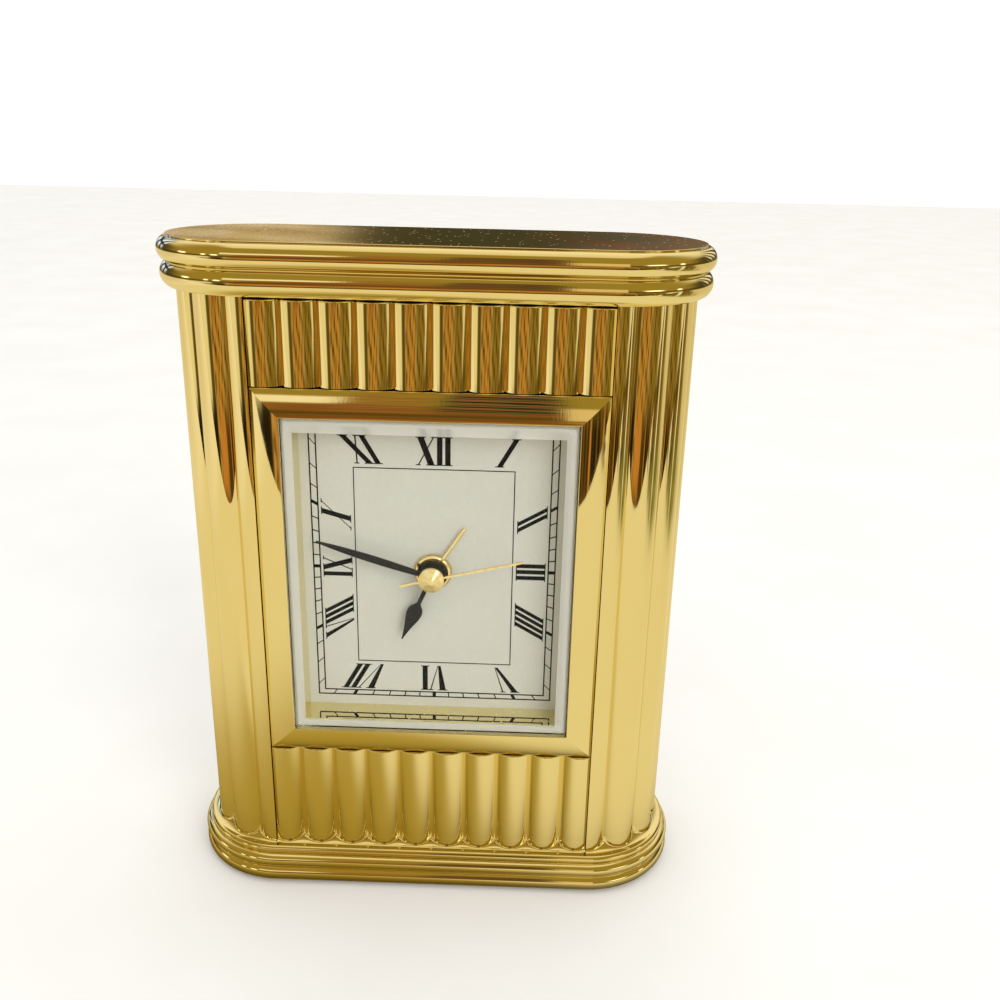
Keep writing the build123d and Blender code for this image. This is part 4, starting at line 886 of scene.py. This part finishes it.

# painted reflections: what the polished brass mirrors, seen by mirrors alone: a pale table and the room
# beyond its edge, as glowing sheets of painted tone

tones = dict(pale=(0.90, 0.77, 0.457), olive=(0.44, 0.30, 0.035), contactShade=(0.07, 0.042, 0.004),
             cream=(1.05, 0.92, 0.66), wood=(0.56, 0.28, 0.05), orange=(0.60, 0.24, 0.045),
             brown=(0.115, 0.06, 0.010), shade=(0.12, 0.078, 0.009), black=(0.018, 0.013, 0.005),
             moss=(0.30, 0.19, 0.026), leaf=(0.34, 0.36, 0.10), sky=(0.36, 0.245, 0.04),
             dim=(0.06, 0.049, 0.019), gold=(0.60, 0.41, 0.15), tan=(0.80, 0.60, 0.28),
             umber=(0.26, 0.155, 0.05), rust=(0.25, 0.085, 0.02), teal=(0.10, 0.13, 0.09),
             navy=(0.03, 0.04, 0.07), red=(0.32, 0.10, 0.05), green=(0.10, 0.13, 0.035),
             window=(1.0, 1.15, 1.5), lamp=(2.4, 2.2, 1.5))
# shadeEdge, shadeNormal and shadeReach place the clock's painted shadow on the mirrored table; contactReach
# sets how far the painted contact shade spreads from the foot
table = dict(front=-255.0, reach=1500.0, shadeEdge=(22.0, -27.0), shadeNormal=(0.81, -0.59),
             shadeReach=100.0, contactReach=7.0, footHalf=19.5, drop=0.05)
room = dict(window=((-155, -122), (4, 30)), lampLift=8.0, lampTall=3.5,
            lamps=((-81, 5.5), (-52, 2.8), (-39, 4.0), (44, 11.0), (77, 3.3)))


def step(value, soft):
    # smooth step from 0 to 1 about zero
    return 1 / (1 + np.exp(-np.clip(value / soft, -40, 40)))


def between(value, low, high, soft):
    return step(value - low, soft) * step(high - value, soft)


def layers(shape, base, *coats):
    # lays tones over each other by their masks
    out = np.broadcast_to(np.array(tones[base]), shape + (3,)).copy()
    for mask, tone in coats:
        out += np.broadcast_to(mask, shape)[..., None] * (np.array(tones[tone]) - out)
    return out


def grain(a, b, *waves):
    # even mottle from a few crossed sine waves, between 0 and 1
    total = sum(np.sin(p * a + q * b + shift) for p, q, shift in waves)
    return 0.5 + 0.5 * total / len(waves)


def addMirrored(name, grid, colours):
    material = bpy.data.materials.new(name)
    material.use_nodes = True
    tree = material.node_tree
    tree.nodes.clear()
    tone = addNode(tree, "ShaderNodeAttribute", attribute_name="roomTone")
    # the sheet glows with its painted tones: a painted reflection, not a lamp
    glow = addNode(tree, "ShaderNodeEmission", {"Color": tone.outputs["Color"]})
    addNode(tree, "ShaderNodeOutputMaterial", {"Surface": glow.outputs[0]})
    points = grid.reshape(-1, 3)
    piece = makePiece(name, points, gridQuads(*grid.shape[:2]), material)
    layer = piece.data.color_attributes.new("roomTone", "FLOAT_COLOR", "POINT")
    full = np.concatenate([colours.reshape(-1, 3), np.ones((len(points), 1))], axis=1)
    layer.data.foreach_set("color", full.astype(np.float32).ravel())
    for ray in ("camera", "diffuse", "shadow", "transmission"):
        setattr(piece, "visible_" + ray, False)


def addTable():
    near = np.arange(-140, 141, 2.5)
    far = np.geomspace(150, table["reach"], 30)
    x = np.concatenate([-far[::-1], near, far])
    y = np.concatenate([[table["front"]], np.linspace(table["front"] + 6, -145, 20), near, far])
    gx, gy = np.meshgrid(x, y)
    # distance outside the foot's outline, and across the edge of the clock's own painted shadow on the
    # table
    gap = np.hypot(np.clip(np.abs(gx) - clock["straightHalf"], 0, None), gy) - table["footHalf"]
    across = ((gx - table["shadeEdge"][0]) * table["shadeNormal"][0]
              + (gy - table["shadeEdge"][1]) * table["shadeNormal"][1])
    r = np.hypot(gx, gy)
    shade = step(-across, 6.0) * step(table["shadeReach"] - r, 15.0)
    # painted contact shade, darkest at the foot
    contactShade = np.exp(-np.clip(gap, 0, None) / table["contactReach"])
    leafy = between(gx, 255, 360, 14) * between(gy, -150, 90, 18)
    mottle = grain(gx, gy, (0.11, 0.05, 0), (-0.06, 0.13, 1))
    # furniture at the right with pale gaps, a bright wall at the left, a dimmer table far behind
    right = step(gx - 262, 9) * step(70 - gy, 25)
    blot = grain(gx, gy, (0.045, 0.02, 0), (-0.03, 0.07, 1), (0.02, 0.11, 2))
    rear = step(gy - table["front"] - 200, 60) * step(r - 300, 80)
    coats = [
        (0.8 * step(-gx - 260, 15), "cream"),
        (right, "moss"),
        (right * step(blot - 0.56, 0.04), "brown"),
        (right * step(0.38 - blot, 0.04), "black"),
        (right * step(np.sin(np.arctan2(gx, -gy) * 15) - 0.8, 0.05), "cream"),
        # painted shadow of the clock on the table, then painted contact shade close round its foot
        (0.97 * shade, "olive"),
        (0.9 * contactShade, "contactShade"),
        (0.9 * leafy * mottle, "leaf"),
        (0.35 * rear, "olive"),
    ]
    colours = layers(gx.shape, "pale", *coats)
    addMirrored("mirroredTable", np.stack([gx, gy, np.full_like(gx, -table["drop"])], axis=-1), colours)


def addRoom():
    # bearing 0 is in front and grows to the right; lift is the angle above level
    # the grid is closer where the flat faces look: in front, and low behind
    back = np.linspace(150, 180, 76)
    bearing = [np.linspace(-180, 180, 271), np.linspace(-62, 66, 257), back, -back]
    lift = [np.linspace(-50, 90, 94), np.linspace(-22, 42, 129), np.linspace(4, 7, 31)]
    bearing, lift = (np.unique(np.concatenate(runs)) for runs in (bearing, lift))
    b, e = np.meshgrid(bearing, lift)
    low, front = step(-3 - e, 0.8), step(120 - np.abs(b), 4)
    streak = grain(b, e, (0.62, 0.05, 0), (1.1, 0.08, 2), (0.27, -0.05, 1))
    smear = grain(b, e, (0.35, 13, 0), (0.2, -17, 2), (0.6, 8, 1))
    blot = grain(b, e, (0.31, 1.7, 0), (0.47, -2.3, 2), (0.2, 3.1, 1), (0.83, 0.4, 3))
    deep, floorLine = step(-14.5 - e, 0.5), step(-19.2 - e, 0.4)
    woodPart, mossPart = low * between(b, -28, 19, 1.0), low * between(b, 19, 60, 1.5)
    darkPart = deep * between(b, 5, 66, 2)
    # in front: floor and furniture below level, from left to right
    coats = [
        (low, "pale"),
        (low * between(b, -45, -28, 1.0), "shade"),
        (step(-13.9 - e, 0.3) * between(b, -62, -28, 1.0), "black"),
        (woodPart, "wood"),
        (woodPart * step(blot - 0.59, 0.04), "brown"),
        (mossPart, "moss"),
        (mossPart * step(blot - 0.57, 0.04), "brown"),
        (darkPart, "brown"),
        (darkPart * step(streak - 0.74, 0.03), "orange"),
        (darkPart * step(0.47 - streak, 0.03), "black"),
        (deep * between(b, -21, 5, 2) * step(e + 19.5, 0.6), "orange"),
        (between(e, -8.2, -3, 0.4) * between(b, -19, 2.8, 0.4), "rust"),
        (floorLine * between(b, -32, 68, 2), "brown"),
        (low * between(np.abs(b), 78, 100, 3) * 0.8, "shade"),
    ]
    # in front, above level: long flat streaks in the middle, a pale block at each side
    flatStreak = grain(b, e, (0.3, 1.5, 0), (-0.5, 2.4, 1), (0.16, 0.9, 2))
    mixed = between(b, -11, -4.6, 0.5) * between(e, 4, 36, 0.6)
    middle = between(b, -4.6, 2.8, 0.3) * between(e, 7, 40, 0.6)
    coats += [
        (front * between(e, -4, 5, 1.0), "brown"),
        (between(b, -16, 11, 1.5) * between(e, 3, 16, 1.0), "rust"),
        (between(b, -34, -10.8, 0.25) * between(e, 16.5, 27, 0.5), "cream"),
        (mixed * step(flatStreak - 0.62, 0.05), "red"),
        (mixed * step(0.4 - flatStreak, 0.05), "moss"),
        (middle, "green"),
        (middle * step(flatStreak - 0.6, 0.05), "red"),
        (middle * step(0.42 - flatStreak, 0.05), "black"),
        (between(b, 2.8, 14, 0.15) * between(e, -2, 18, 0.6), "tan"),
        (front * step(e - 66, 1.5), "pale"),  # bright ceiling
    ]
    # behind the clock: bright high wall, dim low wall, a window at the left, lamps at the right
    flatLeft = between(b, -169.2, -150, 0.8) * between(e, -4, 12, 1)
    flatRight = between(b, 166, 177, 1) * between(e, 2, 9, 1)
    glassPart = between(b, *room["window"][0], 1.5) * between(e, *room["window"][1], 2)
    panes = step(np.sin(0.5 * b + 0.03 * e) + 0.25, 0.1) * step(np.sin(0.33 * e) + 0.6, 0.1)
    highWall = step(np.abs(b) - 112, 8) * between(e, 26, 74, 3) + step(e - 74, 4) * step(np.abs(b) - 80, 20)
    slats = step(np.sin(0.62 * b + 0.3 * e), 0.15)
    coats += [
        (highWall, "cream"),
        (step(np.abs(b) - 100, 6) * between(e, -4, 23, 2), "dim"),
        (flatLeft, "gold"),
        (flatLeft * step(0.47 - smear, 0.06), "umber"),
        (flatLeft * step(smear - 0.72, 0.05), "cream"),
        (flatRight * step(smear - 0.6, 0.06), "teal"),
        (flatRight * step(0.36 - smear, 0.06), "red"),
        (glassPart, "navy"),
        (glassPart * panes, "window"),
        (between(b, 126, 164, 2) * between(e, 4, 26, 1.5) * slats, "cream"),
    ]
    tall = ((e - room["lampLift"]) / room["lampTall"]) ** 4
    coats += [(np.exp(-((b - at) / wide) ** 4 - tall), "lamp") for at, wide in room["lamps"]]
    colours = layers(b.shape, "sky", *coats)
    r = table["reach"] * 4
    flat = r * np.cos(np.radians(e))
    grid = np.stack([flat * np.sin(np.radians(b)), -flat * np.cos(np.radians(b)),
                     clock["handZ"] + r * np.sin(np.radians(e))], axis=-1)
    addMirrored("mirroredRoom", grid, colours)


addTable()
addRoom()
scene.view_settings.view_transform = "Standard"
print("studio ready")
